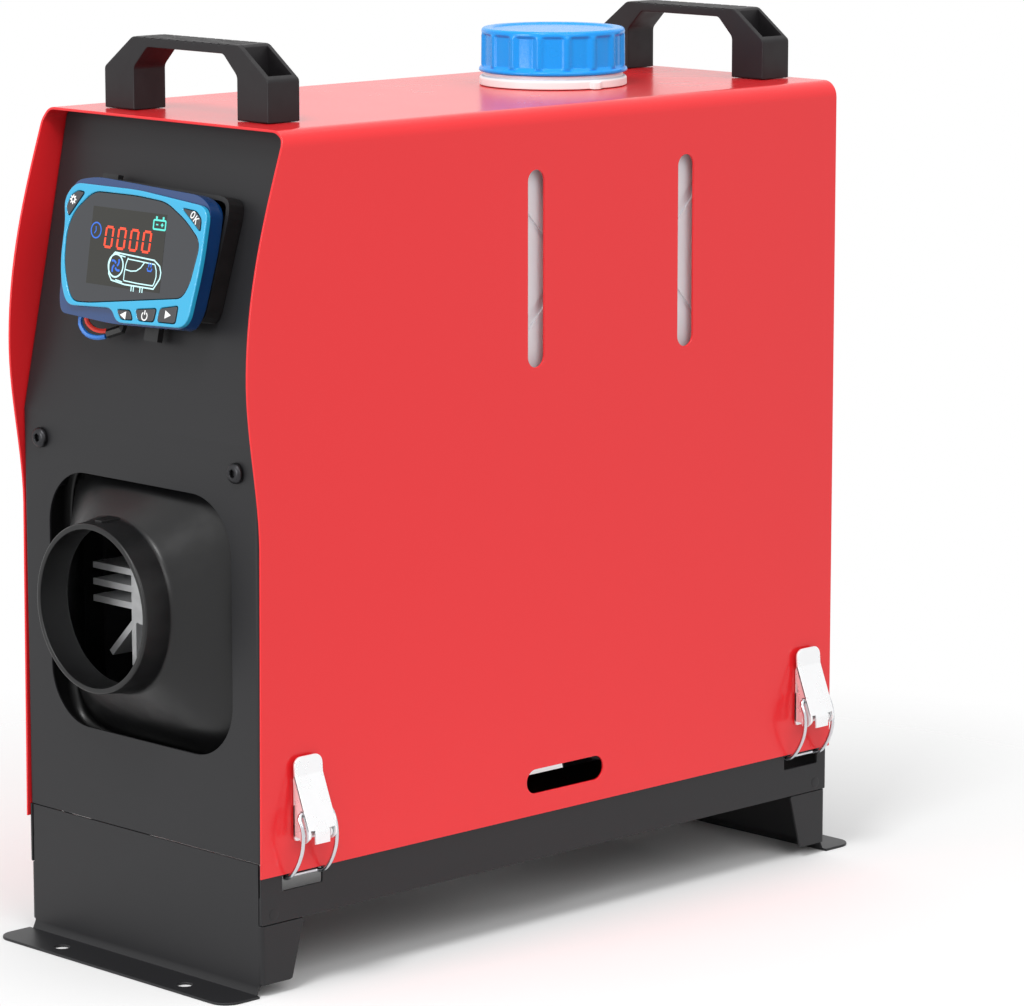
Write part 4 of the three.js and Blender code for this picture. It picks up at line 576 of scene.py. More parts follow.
def screw_shell(radius=4.5, height=2.6, socket=1.6, shaft=2.5, length=12.0, columns=48):
    """Button head, top upwards. The socket's rings have six sides: r / cos((t mod 60) - 30)."""
    turn = np.linspace(0, 2 * math.pi, columns, endpoint=False)
    six = 1 / np.cos((turn + math.pi / 6) % (math.pi / 3) - math.pi / 6)
    bulge = np.linspace(0, 0.8 * QUARTER, 9)
    radii = [shaft, shaft, radius - 0.3, radius, *(radius * (0.45 + 0.55 * np.cos(bulge))),
             six * (socket + 0.25), six * socket, six * socket]
    heights = [-length, 0, 0, 0.25, *(0.7 + (height - 0.7) * np.sin(bulge) / math.sin(0.8 * QUARTER)),
               height, height - 0.3, height - 1.9]
    return spin(radii, heights, (-length, height - 2.1), columns)


def pan_head(radius, height, shaft, length, columns=32):
    """Domed head, top upwards, on a plain shaft."""
    bulge = np.linspace(0, QUARTER, 7)[:-1]
    radii = [shaft, shaft, radius, *(radius * np.cos(bulge))]
    heights = [-length, 0, 0, *(height * (0.25 + 0.75 * np.sin(bulge)))]
    return spin(radii, heights, (-length, height), columns)


# ---------------------------------------------------------------- outlet duct
COLLAR_RADIUS = 37.0
SPOUT_Z, CORE_Z = 162.0, 157.0
SPOUT_RIM = -206.0
SPOUT_LENGTH = 14.0
DUCT_SEAT = PANEL_FACE + SHEET + GAP
DUCT_FRAME = 64.5


def duct_flare(columns=160):
    """The collar's circle turns into the rounded square behind the panel: with t from 0 at the collar to 1
    at the frame, a ring of radius r is r / (|cos|^p + |sin|^p)^(1/p), p = 2 + 3.4 t, and its middle sinks."""
    floor, root = DUCT_SEAT + 13, SPOUT_RIM + SPOUT_LENGTH
    profile = [(34.5, SPOUT_RIM, 0.6), (37, SPOUT_RIM, 0.9), (38, root, 1.6), (62.5, floor, 1.6),
               (64.5, floor - 3, 1.6), (64.5, DUCT_SEAT, 0.5), (73.5, DUCT_SEAT, 0.4),
               (73.5, DUCT_SEAT + 2.5, 0.4), (67, DUCT_SEAT + 2.5, 0.5), (67, floor + 2.5, 1.5),
               (58, floor + 2.5, 1), (55, floor - 3, 2), (38.5, root + 4.5, 2), (34.5, root + 1.5, 1)]
    profile = np.array(profile)
    curve = soft_corners(profile[:, :2], profile[:, 2], 5)
    x, y, height = lathe(curve, columns)[0].T
    radius = np.hypot(x, y)
    t = np.clip((radius - COLLAR_RADIUS) / (DUCT_FRAME - COLLAR_RADIUS), 0, 1)
    power = 2 + 3.4 * t
    square = ((abs(x) / radius) ** power + (abs(y) / radius) ** power) ** (-1 / power)
    points = np.column_stack([x * square, height, y * square + SPOUT_Z + (CORE_Z - SPOUT_Z) * t])
    return points, lathe(curve, columns)[1]


def core_loop(grow):
    """The heater core's rounded square in (x, z), smaller by grow."""
    return round_rectangle(-57.5 + grow, 57.5 - grow, CORE_Z - 58 + grow, CORE_Z + 58 - grow, 24 - grow, 10)


def duct_shells():
    shells = [duct_flare()]

    def upright(y):
        return lambda u, v, depth: np.column_stack([u, y + depth, v])
    shells.append(plate([core_loop(-2.8), core_loop(-0.3)[::-1]], 21.5, upright(DUCT_SEAT + 14), 0.3))
    hole = circle((0, 0), SCREW_HOLE, 20)[::-1]
    for side in (-1, 1):
        x = sorted((side * (PANEL_SCREW_X - 9), side * (PANEL_SCREW_X + 8)))
        ear = round_rectangle(*x, PANEL_SCREW_Z - 22, PANEL_SCREW_Z + 8, 4)
        shells.append(plate([ear, hole + [side * PANEL_SCREW_X, PANEL_SCREW_Z]], 6, upright(DUCT_SEAT), 0.3))

    def on_collar(u, v, depth):
        angle = QUARTER - u / COLLAR_RADIUS
        radius = COLLAR_RADIUS + (v - SPOUT_RIM) / SPOUT_LENGTH + 0.9 - depth
        return np.column_stack([radius * np.cos(angle), v, SPOUT_Z + radius * np.sin(angle)])
    start, end = SPOUT_RIM + 5, SPOUT_RIM + SPOUT_LENGTH
    mark = np.array([(-2.2, start), (2.2, start), (3.6, end), (-3.6, end)])
    shells.append(plate([mark], 1.9, on_collar, 0.4, 0))
    return shells


# ---------------------------------------------------------------- handles
HANDLE_FLOOR = CASE_TOP + GAP
HANDLE_TOP = HANDLE_FLOOR + 32


def handle_outline(pocket):
    """(x, z) outline of the handle's right half and its mirror image. The middle layer also has the pocket
    that is open in the slanted shoulder."""
    floor, top = HANDLE_FLOOR, HANDLE_TOP
    shoulder, under = floor + 18, top - 4.2

    def slant(x):
        return shoulder + (54 - x) * (top - shoulder) / 19
    right = [(0, under, 0), (25, under, 1.5), (34, under - 9, 1.5), (34, floor, 0.4), (54, floor, 0.4),
             (54, shoulder, 1.2)]
    if pocket:
        right += [(51.6, slant(51.6), 0.3), (51.6, floor + 5, 0.6), (36.4, floor + 5, 0.6),
                  (36.4, slant(36.4), 0.3)]
    right += [(35, top, 1.5)]
    left = [(-x, z, reach) for x, z, reach in right[::-1]][:-1]
    points = np.array(right + left)
    loop = soft_corners(points[:, :2], points[:, 2], 4)
    loop = loop[np.linalg.norm(np.roll(loop, -1, 0) - loop, axis=1) > 1e-4]
    first = np.argmin(abs(loop[:, 1] - top) + abs(loop[:, 0] - 33.5))
    loop = np.roll(loop, -first - 1, 0)
    grooves = [arc((x, top), 0.7, 0, -180, 5) for x in np.arange(28, -28.1, -5.5)]
    return np.vstack([loop, *grooves])[::-1]


def handle_shells():
    layers = [(-9, 2.4, False, 0.6, 0), (-6.6, 13.2, True, 0, 0), (6.6, 2.4, False, 0, 0.6)]
    shells = []
    for start, thickness, pocket, front, back in layers:
        loop = handle_outline(pocket)
        shells.append(plate([loop if area(loop) > 0 else loop[::-1]], thickness,
                            lambda u, v, depth, y=start: np.column_stack([u, y + depth, v]), front, back))
    return shells


# ---------------------------------------------------------------- base
def rail_shell(edge):
    blank = [(PANEL_FACE, 31.5), (-PANEL_FACE, 31.5), (-PANEL_FACE, RAIL_TOP), (PANEL_FACE, RAIL_TOP)]
    holes = [round_rectangle(y - 11.5, y + 11.5, 45, 51.8, 0.6, 3)[::-1] for y in LATCH_YS]
    behind, z = FOOT_RIVET
    holes += [circle((y, z), RIVET_HOLE, 12)[::-1] for y in (PANEL_FACE + behind, -PANEL_FACE - behind)]
    outline = soft_corners(blank, 0.5, 3)
    return plate([outline] + holes, SHEET, lambda u, v, depth: np.column_stack([RAIL_X - depth, u, v]), edge)


def foot_shells(edge):
    """Front foot from one flat pattern: u across and v from the flange's front edge over the fold at the
    floor and up the face; above that fold the two wings turn back over radius 2."""
    fold, radius = 1.5, 2.0
    flange = 21.3 - fold
    bend = fold * QUARTER
    ups = [(flange, 0), (bend, QUARTER), (100, 0)]
    start = (PANEL_FACE - 21.3, SHEET)
    side_x = RAIL_X - radius
    backs = [(side_x, 0), (radius * QUARTER, QUARTER), (100, 0)]
    above = flange + bend - (SHEET + fold)            # v = z + above on the face

    def place(u, v, depth):
        yz = follow(ups, start, 0, v, depth, -1)
        xd = follow(backs, (0, 0), 0, abs(u), depth, 1)
        upright = v >= flange + bend - 1e-9
        x = np.where(upright, xd[:, 0], abs(u)) * np.sign(u)
        y = np.where(upright, PANEL_FACE + xd[:, 1], yz[:, 0])
        z = np.where(upright, v - above, yz[:, 1])
        return np.column_stack([x, y, z])

    def back(distance):                               # u of a place on the wing that far behind the face
        return side_x + radius * QUARTER + distance - radius
    low, high = 5.2 + above, 31.2 + above
    top = RAIL_TOP + above
    folds = side_x + radius * QUARTER * np.linspace(0, 1, 5)
    corner = arc((RAIL_X - 8.5, 8.5), 8.5, -90, 0, 10)
    right = [*corner, (RAIL_X, flange), (side_x - 0.2, flange + 0.1), (side_x - 0.2, low - 0.6)]
    right += [(u, low) for u in folds] + [(back(16), low), (back(17.4), low + 0.5), (back(24.2), high - 0.8),
                                          (back(23.6), high)]
    right += [(u, high) for u in folds[::-1]]
    right += [(side_x - 0.2, high + 0.6), (side_x - 0.2, top)]
    right = np.array(right)
    left = (right * [-1, 1])[::-1]
    outline = np.vstack([right, left])
    first = len(corner) + 3
    last = first + len(folds) + 4
    n = len(outline)
    links = [(first + i, last + len(folds) - 1 - i) for i in range(len(folds))]
    links += [(n - 1 - a, n - 1 - b) for a, b in links]
    links += [(len(corner) + 1, n - 1 - (len(corner) + 1))]
    holes = [circle((x, 21.3 - 12.4), 3.4, 28)[::-1] for x in (-42, 42)]
    main = plate([outline] + holes, SHEET, place, edge, links=links)
    tab = round_rectangle(PANEL_FACE + 0.4, PANEL_FACE + 21.5, 25.5, 44, 0.8, 3)
    shells = [main]
    for side in (-1, 1):
        inner = plate([tab], SHEET, lambda u, v, depth: np.column_stack([RAIL_X - 1.5 - depth, u, v]), 0.2)
        shells.append(moved(inner, mirror_x=side < 0))
    return shells


# ---------------------------------------------------------------- filler
def collar_shells():
    """The white ring on the hood, the narrower neck above it and the lug that points to the side."""
    floor, rim = HANDLE_FLOOR, CAP_LOW[2] - GAP
    profile = [(30.5, floor), (34.05, floor), (34.05, floor + 3.4), (33.4, floor + 4.1), (32.2, floor + 4.3),
               (32.2, rim), (30.5, rim)]
    reach = [0.2, 0.5, 0.6, 0.4, 0.3, 0.3, 0.3]
    ring = moved(lathe(soft_corners(profile, reach, 4), 96), shift=(0, CAP_Y, 0))
    lug = soft_corners([(31, -9), (35.4, -8.4), (36.3, -5.6), (34, -2), (31, -2)], 0.8, 4)
    lug = plate([lug], 3.2, lambda u, v, depth: np.column_stack([u, CAP_Y + v, floor + 3.2 - depth]),
                0.4, 0.2)
    return [ring, lug]


def cap_shell(ribs, columns_each=14):
    """Rings round the cap. Below the smooth top band the wall is drawn in by wide shallow flutes: with s the
    distance to the nearest rib as a share of the step, the depth is a smooth step between 0.07 and 0.2."""
    low, high = CAP_LOW[2], CAP_HIGH[2]
    columns = ribs * columns_each
    s = (np.arange(columns) / columns_each + 0.5) % 1
    s = np.minimum(s, 1 - s)
    step = np.clip((s - 0.07) / 0.13, 0, 1)
    flute = step * step * (3 - 2 * step)
    edge = np.linspace(0, QUARTER, 6)
    rows = [(30.8, high - 3, 0), (30.8, low + 0.3, 0), (31.1, low, 0), (CAP_RADIUS - 0.4, low, 0),
            (CAP_RADIUS, low + 0.35, 0), (CAP_RADIUS, low + 1.2, 0), (CAP_RADIUS - 0.3, low + 1.7, 0),
            (CAP_RADIUS - 0.95, low + 2.1, 0), (CAP_RADIUS - 0.9, low + 2.5, 0.1),
            (CAP_RADIUS - 0.7, low + 3.0, 0.7), (CAP_RADIUS - 0.6, low + 3.5, 1.0),
            (CAP_RADIUS - 0.7, high - 3.6, 1.0), (CAP_RADIUS - 0.75, high - 3.0, 0.75),
            (CAP_RADIUS - 0.95, high - 2.4, 0.2), (CAP_RADIUS - 1.1, high - 2.0, 0.0)]
    rows += [(CAP_RADIUS - 1.1 - 1.6 * (1 - math.cos(a)), high - 1.6 + 1.6 * math.sin(a), 0)
             for a in edge[1:]]
    rows += [(CAP_RADIUS - 5, high, 0), (CAP_RADIUS - 6, high - 0.25, 0), (CAP_RADIUS - 6.6, high - 0.8, 0)]
    radii = [radius - 1.3 * share * flute for radius, height, share in rows]
    shell = spin(radii, [height for radius, height, share in rows], (high - 3, high - 0.8), columns)
    return moved(shell, shift=(0, CAP_Y, 0))


# ---------------------------------------------------------------- toggle latches
# drawn in a latch's own frame: x out from the hood's face, y along the hood and z up
def lever_shells():
    lean_a, lean_b = math.atan2(9.5, 24), math.atan2(0.6, 8.5)
    run = math.hypot(9.5, 24)
    path = [(4.9, 0), (2 * lean_a, lean_a), (run - 1.3, 0), (2 * (lean_a - lean_b), lean_b - lean_a), (9, 0)]
    kink = 4.9 + 2 * lean_a + run - 1.3
    end = kink + 2 * (lean_a - lean_b) + 7.9
    shoulder = 6.4

    def place(u, v, depth):
        xz = follow(path, (12.6, 66.5), QUARTER, u, depth, 1)
        return np.column_stack([xz[:, 0], -v, xz[:, 1]])
    fold_a = 4.9 + 2 * lean_a * np.linspace(0, 1, 4)
    fold_b = kink + 2 * (lean_a - lean_b) * np.linspace(0, 1, 4)
    high = [(u, 8) for u in fold_b]
    tip = [*arc((end - 4, -4), 4, -90, 0, 8), *arc((end - 4, 4), 4, 0, 90, 8)]
    low_edge = [(shoulder, -3.6), (shoulder + 0.2, -8)]
    loop = np.array([
        (0.2, -3.6), *[(u, -3.6) for u in fold_a[:3]], *low_edge, *[(u, -8) for u in fold_b], *tip,
        *high[::-1], (shoulder + 0.2, 8), (shoulder, 4.6), *[(u, 4.6) for u in fold_a[:3][::-1]], (0.2, 4.6)])
    n = len(loop)
    links = [(1 + i, n - 2 - i) for i in range(3)]
    links += [(6 + i, n - 8 - i) for i in range(4)]
    skin = plate([loop], 1.1, place, 0.25, links=links)
    flank = np.array([(3.0, 96), (1.6, 94), (3.4, 82.5), (4.2, 78.5), (5, 70.5), (6.2, 67.3), (9.2, 66.9),
                      (12.2, 69.5), (12.3, 72)])
    flank = soft_corners(flank, 1.0, 4)
    flank = flank if area(flank) > 0 else flank[::-1]
    pin, wire = circle((8.2, 70.5), 1.55, 20)[::-1], circle((7.2, 79.5), 1.4, 20)[::-1]
    sides = [plate([flank, pin, wire], 1.1, lambda u, v, depth, y=y: np.column_stack([u, y + depth, v]), 0.2)
             for y in (-8, 6.9)]
    return [skin, *sides]


def base_shells():
    """Plate on the hood, two ears, the lever's pin and the two rivets."""
    back = round_rectangle(-6.6, 6.6, 66.5, 94, 1.2, 4)
    holes = [circle((0, z), RIVET_HOLE, 16)[::-1] for z in RIVET_ZS]
    shells = [plate([back, *holes], 1.1, lambda u, v, depth: np.column_stack([1.4 - depth, u, v]), 0.2)]
    ear = soft_corners([(0.3, 68.3), (5.8, 68.3), (8.2, 67.6), (10.5, 68.7), (11.1, 70.5), (10.2, 72.6),
                        (3.3, 82.5), (0.3, 82.5)], 0.8, 4)
    shells += [plate([ear], 1.1, lambda u, v, depth, y=y: np.column_stack([u, y + depth, v]), 0.2)
               for y in (-6.6, 5.5)]
    pin = rounded_profile([(0, -8.1), (1.4, -8.1), (1.4, 8.1), (0, 8.1)], 0.3)
    shells.append(moved(lathe(pin, 24), ALONG_Y, (8.2, 0, 70.5)))
    shells += [moved(pan_head(3.1, 1.3, 1.6, 3.4, 28), ALONG_X, (1.45, 0, z)) for z in RIVET_ZS]
    return shells


def bail_shell():
    arm, hook = 9.4, 50.55
    side = [(7.2, 6.3, 79.5), (7.2, arm - 1, 79.5), (7.5, arm, 78.1), (9.6, arm + 0.1, 72.5),
            (9.4, arm + 0.3, 64.5), (6, arm + 0.5, hook + 6), (1.8, 10, hook + 1.2), (-1, 10, hook),
            (-2.7, 9.4, hook), (-3.1, 7.6, hook)]
    path = np.array(side + [(-3.1, 0, hook)] + [(x, -y, z) for x, y, z in side[::-1]])
    return tube(smooth_path(path, 150), 0.95, 14)


def latch_frame(shell, side, y):
    """A latch's own frame put on the hood: on the left it is turned half round."""
    half_turn = np.diag([-1.0, -1.0, 1.0])
    return moved(shell, None if side > 0 else half_turn, (side * CASE_X, y, 0))


# ---------------------------------------------------------------- controller
# drawn in the leaning panel's frame: x, up along the panel from its bend, and off in front of it
FACE_OFF = 18.8
BEZEL = 2.4
CONTROL = [(-36, 47.6), (-6, 49.2), (-1.4, 43.3), (44.4, 45.2), (47.6, 72), (47.4, 97), (0, 100.7),
           (-42, 100.6), (-47.8, 93), (-45, 84), (-44.4, 67), (-41.4, 56)]
HOUSING = [(-42, 44), (-7, 42.4), (40, 44.4), (44, 52), (47, 80), (46.4, 97), (38, 101.6), (-31, 104.4),
           (-46.6, 101.4), (-46.4, 72), (-44.5, 50)]
# the room inside the housing, which stays under the bezel too
ROOM = [(-35, 49), (-5.2, 50.6), (-0.8, 44.6), (39.4, 45.6), (42.8, 52.4), (45.9, 80), (45.4, 96.2),
        (0, 99.6), (-41.4, 99.5), (-45.4, 92.6), (-44, 84), (-43.3, 67), (-40.5, 56.6)]
WINDOW = [(-33, 49.5), (-22, 49.9), (38.8, 57.4), (42.6, 64), (45.6, 82), (34, 90.4), (20, 97), (0, 98.2),
          (-28.6, 98), (-39.6, 88.8), (-43.2, 80), (-41.9, 66), (-38.2, 57.3)]
KEYS = {
    "menu": [(-43, 85.4), (-34, 97), (-39, 97.4), (-43.2, 95), (-45.3, 89.8)],
    "ok": [(44.6, 86), (44.2, 91.6), (40.3, 94.7), (30.6, 95.4)],
    "down": [(1.3, 44.9), (9.5, 45.2), (6.8, 49.5), (-2.3, 49)],
    "power": [(12.8, 45.4), (23.1, 45.8), (23.9, 51.9), (10, 50.2)],
    "up": [(25.2, 46), (37.1, 46.4), (37.5, 54.3), (25.8, 52.1)],
}
SEGMENTS = {"0": "abcdef", "1": "bc", "2": "abged", "3": "abgcd", "4": "fgbc", "5": "afgcd", "6": "afgecd",
            "7": "abc", "8": "abcdefg", "9": "abcdfg", "-": "g"}


def lean_points(x, off, up):
    """The leaning panel's frame turned back about x by the lean and put at the panel's bend."""
    y = PANEL_FACE - off * math.cos(LEAN) + up * math.sin(LEAN)
    return np.column_stack([x, y, PANEL_BEND_Z + off * math.sin(LEAN) + up * math.cos(LEAN)])


def leaning(off):
    """Placer for a flat pattern whose front lies that far in front of the panel."""
    return lambda u, v, depth: lean_points(u, off - depth, v)


def ccw(loop):
    loop = np.asarray(loop, float)
    return loop if area(loop) > 0 else loop[::-1]


def soft(points, reach, shrink=0.0, count=8):
    """A soft outline, counter-clockwise, drawn in by a distance."""
    points = ccw(points)
    return soft_corners(offset_loop(points, shrink) if shrink else points, reach, count)


def ribbon(points, width, closed=False):
    """Loops round a line of the given width: half of it is laid off to each side of every point."""
    p = np.asarray(points, float)
    if closed:
        p = ccw(p)
        return [offset_loop(p, -width / 2), offset_loop(p, width / 2)[::-1]]
    along = unit(np.gradient(p, axis=0))
    left = np.column_stack([-along[:, 1], along[:, 0]]) * width / 2
    return [ccw(np.vstack([p - left, (p + left)[::-1]]))]


def printed(marks, off, thickness=0.06):
    """Thin flat marks on a surface; each lies a hair above the one before, so that none coincide."""
    return [plate(loops, thickness + 0.004 * i, leaning(off + thickness + 0.004 * i), 0)
            for i, loops in enumerate(marks)]


SCREEN = (-28, 21, 56.3, 89.6)  # the lit field, before it is put in its place behind the window
SCREEN_SHIFT = (0.7, 2.0)
SCREEN_SHEAR = 0.067            # how far the display leans to the right for each step down


def on_display(marks):
    """Marks of the display in their place: x grows by the shear times the way down from the screen's top."""
    def placed(loop):
        x, up = loop.T
        return np.column_stack([x + SCREEN_SHIFT[0] + SCREEN_SHEAR * (SCREEN[3] - up), up + SCREEN_SHIFT[1]])
    return [[placed(loop) for loop in loops] for loops in marks]


def digit_marks(text, x, up, width=4.6, height=8.6, pitch=8.37, stroke=1.05):
    """Seven-segment figures: each lit segment is a short bar with a gap at its ends, leaning a little."""
    w, h, gap = width / 2, height / 2, 0.35
    ends = {"a": ((-w, h), (w, h)), "b": ((w, h), (w, 0)), "c": ((w, 0), (w, -h)), "d": ((-w, -h), (w, -h)),
            "e": ((-w, -h), (-w, 0)), "f": ((-w, 0), (-w, h)), "g": ((-w, 0), (w, 0))}
    marks = []
    for i, figure in enumerate(text):
        for name in SEGMENTS.get(figure, ""):
            a, b = (np.array(end, float) for end in ends[name])
            step = unit(b - a) * gap
            a, b = a + step, b - step
            line = np.array([a, b])
            line[:, 0] += 0.07 * line[:, 1]
            marks.append(ribbon(line + [x + i * pitch, up], stroke))
    return marks


def heater_marks():
    """The small drawing of a heater on the display, as lines."""
    outline = [(-10.4, 71), (15.7, 69.8), (19.6, 67.6), (20.7, 65), (20.4, 62.4), (19.2, 60.8), (16.8, 57.7),
               (-2.4, 57.9), (-11.3, 59), (-13.4, 61.6), (-13.9, 65.6), (-12.6, 69)]
    marks = [ribbon(outline, 0.62, closed=True)]
    marks.append(ribbon(circle((-9.3, 65.4), 4.9, 32), 0.7, closed=True))
    lines = [
        [(-1.5, 69.4), (-2.6, 66.6), (-3.1, 63), (-3.2, 59.6)],
        [(-1.9, 68.9), (6, 68.6), (16.2, 68.1)],
        [(-3, 59.5), (6, 59.1), (16.4, 59)],
        [(16.4, 68), (17.6, 65.6), (17.9, 63), (17.2, 60.6), (16.4, 59.1)],
        [(-2.6, 64.3), (1, 63.9), (4.5, 64.3), (7.2, 65.8), (9.4, 68.2)],
        [(-9.8, 70.2), (-3.4, 69.6)],
        [(-8.6, 59.4), (-4, 58.8)],
    ]
    marks += [ribbon(line, 0.5) for line in lines]
    marks += [ribbon([(x, 57.6), (x, 55.4)], 0.5) for x in (2.4, 3.9, 8.2, 9.7)]
    return marks


def blue_marks():
    """Clock, fan blades and the small flame on the display."""
    clock = (-24.6, 79.3)
    marks = [ribbon(circle(clock, 3.3, 32), 0.6, closed=True),
             ribbon([(-24.9, 81), (-24.6, 79.2), (-25.6, 77.9)], 0.5)]
    for turn in range(4):
        angles = turn * QUARTER + np.linspace(0, 1.0, 6)
        reach = np.linspace(0.9, 3.4, 6)
        blade = np.column_stack([-9.3 + reach * np.cos(angles), 65.4 + reach * np.sin(angles)])
        marks.append(ribbon(blade, 0.9))
    marks += [ribbon([(11.6, 66.2), (12.1, 65), (14.2, 65), (14.7, 66.2)], 0.7),
              ribbon([(12.4, 66.6), (12.6, 68.4)], 0.6), ribbon([(13.9, 66.6), (14.1, 68.4)], 0.6)]
    return marks


def battery_marks():
    """Rounded case with two poles, a minus and a plus."""
    x, up = 16.8, 85.3
    case = soft([(-3.9, -2.3), (3.9, -2.3), (3.9, 1.6), (-3.9, 1.6)], 0.5, 0, 3)
    marks = [ribbon(case + [x, up], 0.75, closed=True)]
    for width, line in ((1.1, [(-2.2, 1.9), (-2.2, 3.2)]), (1.1, [(2.2, 1.9), (2.2, 3.2)]),
                        (0.6, [(-2.3, -0.3), (-0.9, -0.3)]), (0.6, [(0.9, -0.3), (2.5, -0.3)]),
                        (0.6, [(1.7, -1.1), (1.7, 0.5)])):
        marks.append(ribbon(np.array(line) + [x, up], width))
    return marks


def key_marks():
    """White signs on the keys: gear, OK, arrows and the power symbol."""
    gear_at = np.array([-40.9, 93.2])
    teeth = np.linspace(0, 2 * math.pi, 64, endpoint=False)
    radius = 1.75 + 0.42 * np.clip(3 * np.cos(8 * teeth), -1, 1)
    gear = [gear_at + radius[:, None] * np.column_stack([np.cos(teeth), np.sin(teeth)]),
            circle(gear_at, 0.8, 20)[::-1]]
    ok_at = np.array([40.2, 91.9])
    tilt = math.radians(-38)
    turn = np.array([[math.cos(tilt), math.sin(tilt)], [-math.sin(tilt), math.cos(tilt)]])

    def letter(lines, width=0.5):
        return [ribbon(np.array(line) @ turn + ok_at, width) for line in lines]
    ring = circle((0, 0), 1, 24) * [0.95, 1.5] @ turn + np.array([-1.75, 0]) @ turn + ok_at
    strokes = letter([[(0.5, -1.7), (0.5, 1.7)], [(0.7, -0.2), (2.4, 1.7)], [(1.1, 0.3), (2.5, -1.7)]])
    arrow = np.array([(-2.2, 0), (1.6, -1.75), (1.6, 1.75)])
    power = np.array([17.1, 48.0])
    curve = arc(power - [0, 0.15], 1.75, 125, 415, 28)
    return {
        "menu": [gear], "ok": [ribbon(ring, 0.5, closed=True), *strokes],
        "down": [[ccw(arrow + [3.3, 46.9])]], "up": [[ccw(arrow * [-1, 1] + [31.8, 49.8])]],
        "power": [ribbon(curve, 0.55), ribbon([power + [0, 0.4], power + [0, 2.3]], 0.6)],
    }


# ---------------------------------------------------------------- materials
def add_node(tree, kind, inputs=None, **settings):
    """Adds a node with its settings; an input is given a value, or the output that feeds it."""
    node = tree.nodes.new(kind)
    for name, value in settings.items():
        setattr(node, name, value)
    for name, value in (inputs or {}).items():
        if isinstance(value, bpy.types.NodeSocket):
            tree.links.new(value, node.inputs[name])
        else:
            node.inputs[name].default_value = value
    return node


def start_material(name, **values):
    """A material with a Principled shader whose plain values stand on its own sockets."""
    made = bpy.data.materials.new(name)
    made.use_nodes = True
    tree = made.node_tree
    tree.nodes.clear()
    shader = add_node(tree, "ShaderNodeBsdfPrincipled", values)
    add_node(tree, "ShaderNodeOutputMaterial", {"Surface": shader.outputs["BSDF"]})
    return made, tree, shader


def noise(tree, size, detail=2.0, rough=0.5, stretch=(1, 1, 1)):
    """Noise in the object's own coordinates; size is the millimetres of its coarsest pattern."""
    place = add_node(tree, "ShaderNodeTexCoord").outputs["Object"]
    if stretch != (1, 1, 1):
        place = add_node(tree, "ShaderNodeMapping", {"Vector": place, "Scale": stretch}).outputs["Vector"]
    return add_node(tree, "ShaderNodeTexNoise", {"Vector": place, "Scale": 1 / (size * MM), "Detail": detail,
                                                 "Roughness": rough}).outputs["Fac"]


def bump(tree, shader, height, depth):
    """Surface relief; depth is in millimetres."""
    relief = add_node(tree, "ShaderNodeBump", {"Height": height, "Distance": depth * MM, "Strength": 1.0})
    tree.links.new(relief.outputs["Normal"], shader.inputs["Normal"])


def spread(tree, value, low, high, start=0.3, end=0.7):
    return add_node(tree, "ShaderNodeMapRange", {"Value": value, "From Min": start, "From Max": end,
                                                 "To Min": low, "To Max": high}).outputs["Result"]


def rgba(colour):
    return tuple(colour) + (1.0,)


def powder_coat(name, colour, roughness, peel, depth, coat=0.0, specular=0.5):
    """Baked powder paint: an even colour with the fine rounded waviness of orange peel in its gloss."""
    made, tree, shader = start_material(name, **{"Base Color": rgba(colour), "Coat Weight": coat,
                                                 "Coat Roughness": 0.12, "Specular IOR Level": specular})
    wave_height = noise(tree, peel, 1.0)
    bump(tree, shader, wave_height, depth)
    tree.links.new(spread(tree, noise(tree, 40, 2), roughness * 0.94, roughness * 1.06, 0.1, 0.9),
                   shader.inputs["Roughness"])
    return made


def moulded(name, colour, roughness, grain=0.5, depth=0.006, coat=0.0, specular=0.5):
    """Injection moulded plastic: one colour through and through with a fine grain from the mould."""
    made, tree, shader = start_material(name, **{"Base Color": rgba(colour), "Coat Weight": coat,
                                                 "Coat Roughness": 0.1, "Specular IOR Level": specular})
    bump(tree, shader, noise(tree, grain, 3), depth)
    tree.links.new(spread(tree, noise(tree, 6, 4), roughness * 0.88, roughness * 1.12),
                   shader.inputs["Roughness"])
    return made


def metal(name, colour, roughness, size, depth, stretch=(1, 1, 1), share=1.0):
    """Bare or plated metal: the sheen wanders and a fine relief is left by rolling, drawing or casting. A
    share under 1 stands for a pale passivated or sand-rough skin, which scatters light as well."""
    made, tree, shader = start_material(name, **{"Base Color": rgba(colour), "Metallic": share})
    pattern = noise(tree, size, 3, 0.6, stretch)
    bump(tree, shader, pattern, depth)
    tree.links.new(spread(tree, noise(tree, size * 4, 3), roughness * 0.75, roughness * 1.25),
                   shader.inputs["Roughness"])
    return made


def glowing(name, colour, strength):
    """Lit figures behind a dark window: a small light of one colour."""
    return start_material(name, **{"Base Color": rgba([c * 0.2 for c in colour]), "Roughness": 0.3,
                                   "Emission Color": rgba(colour), "Emission Strength": strength})[0]


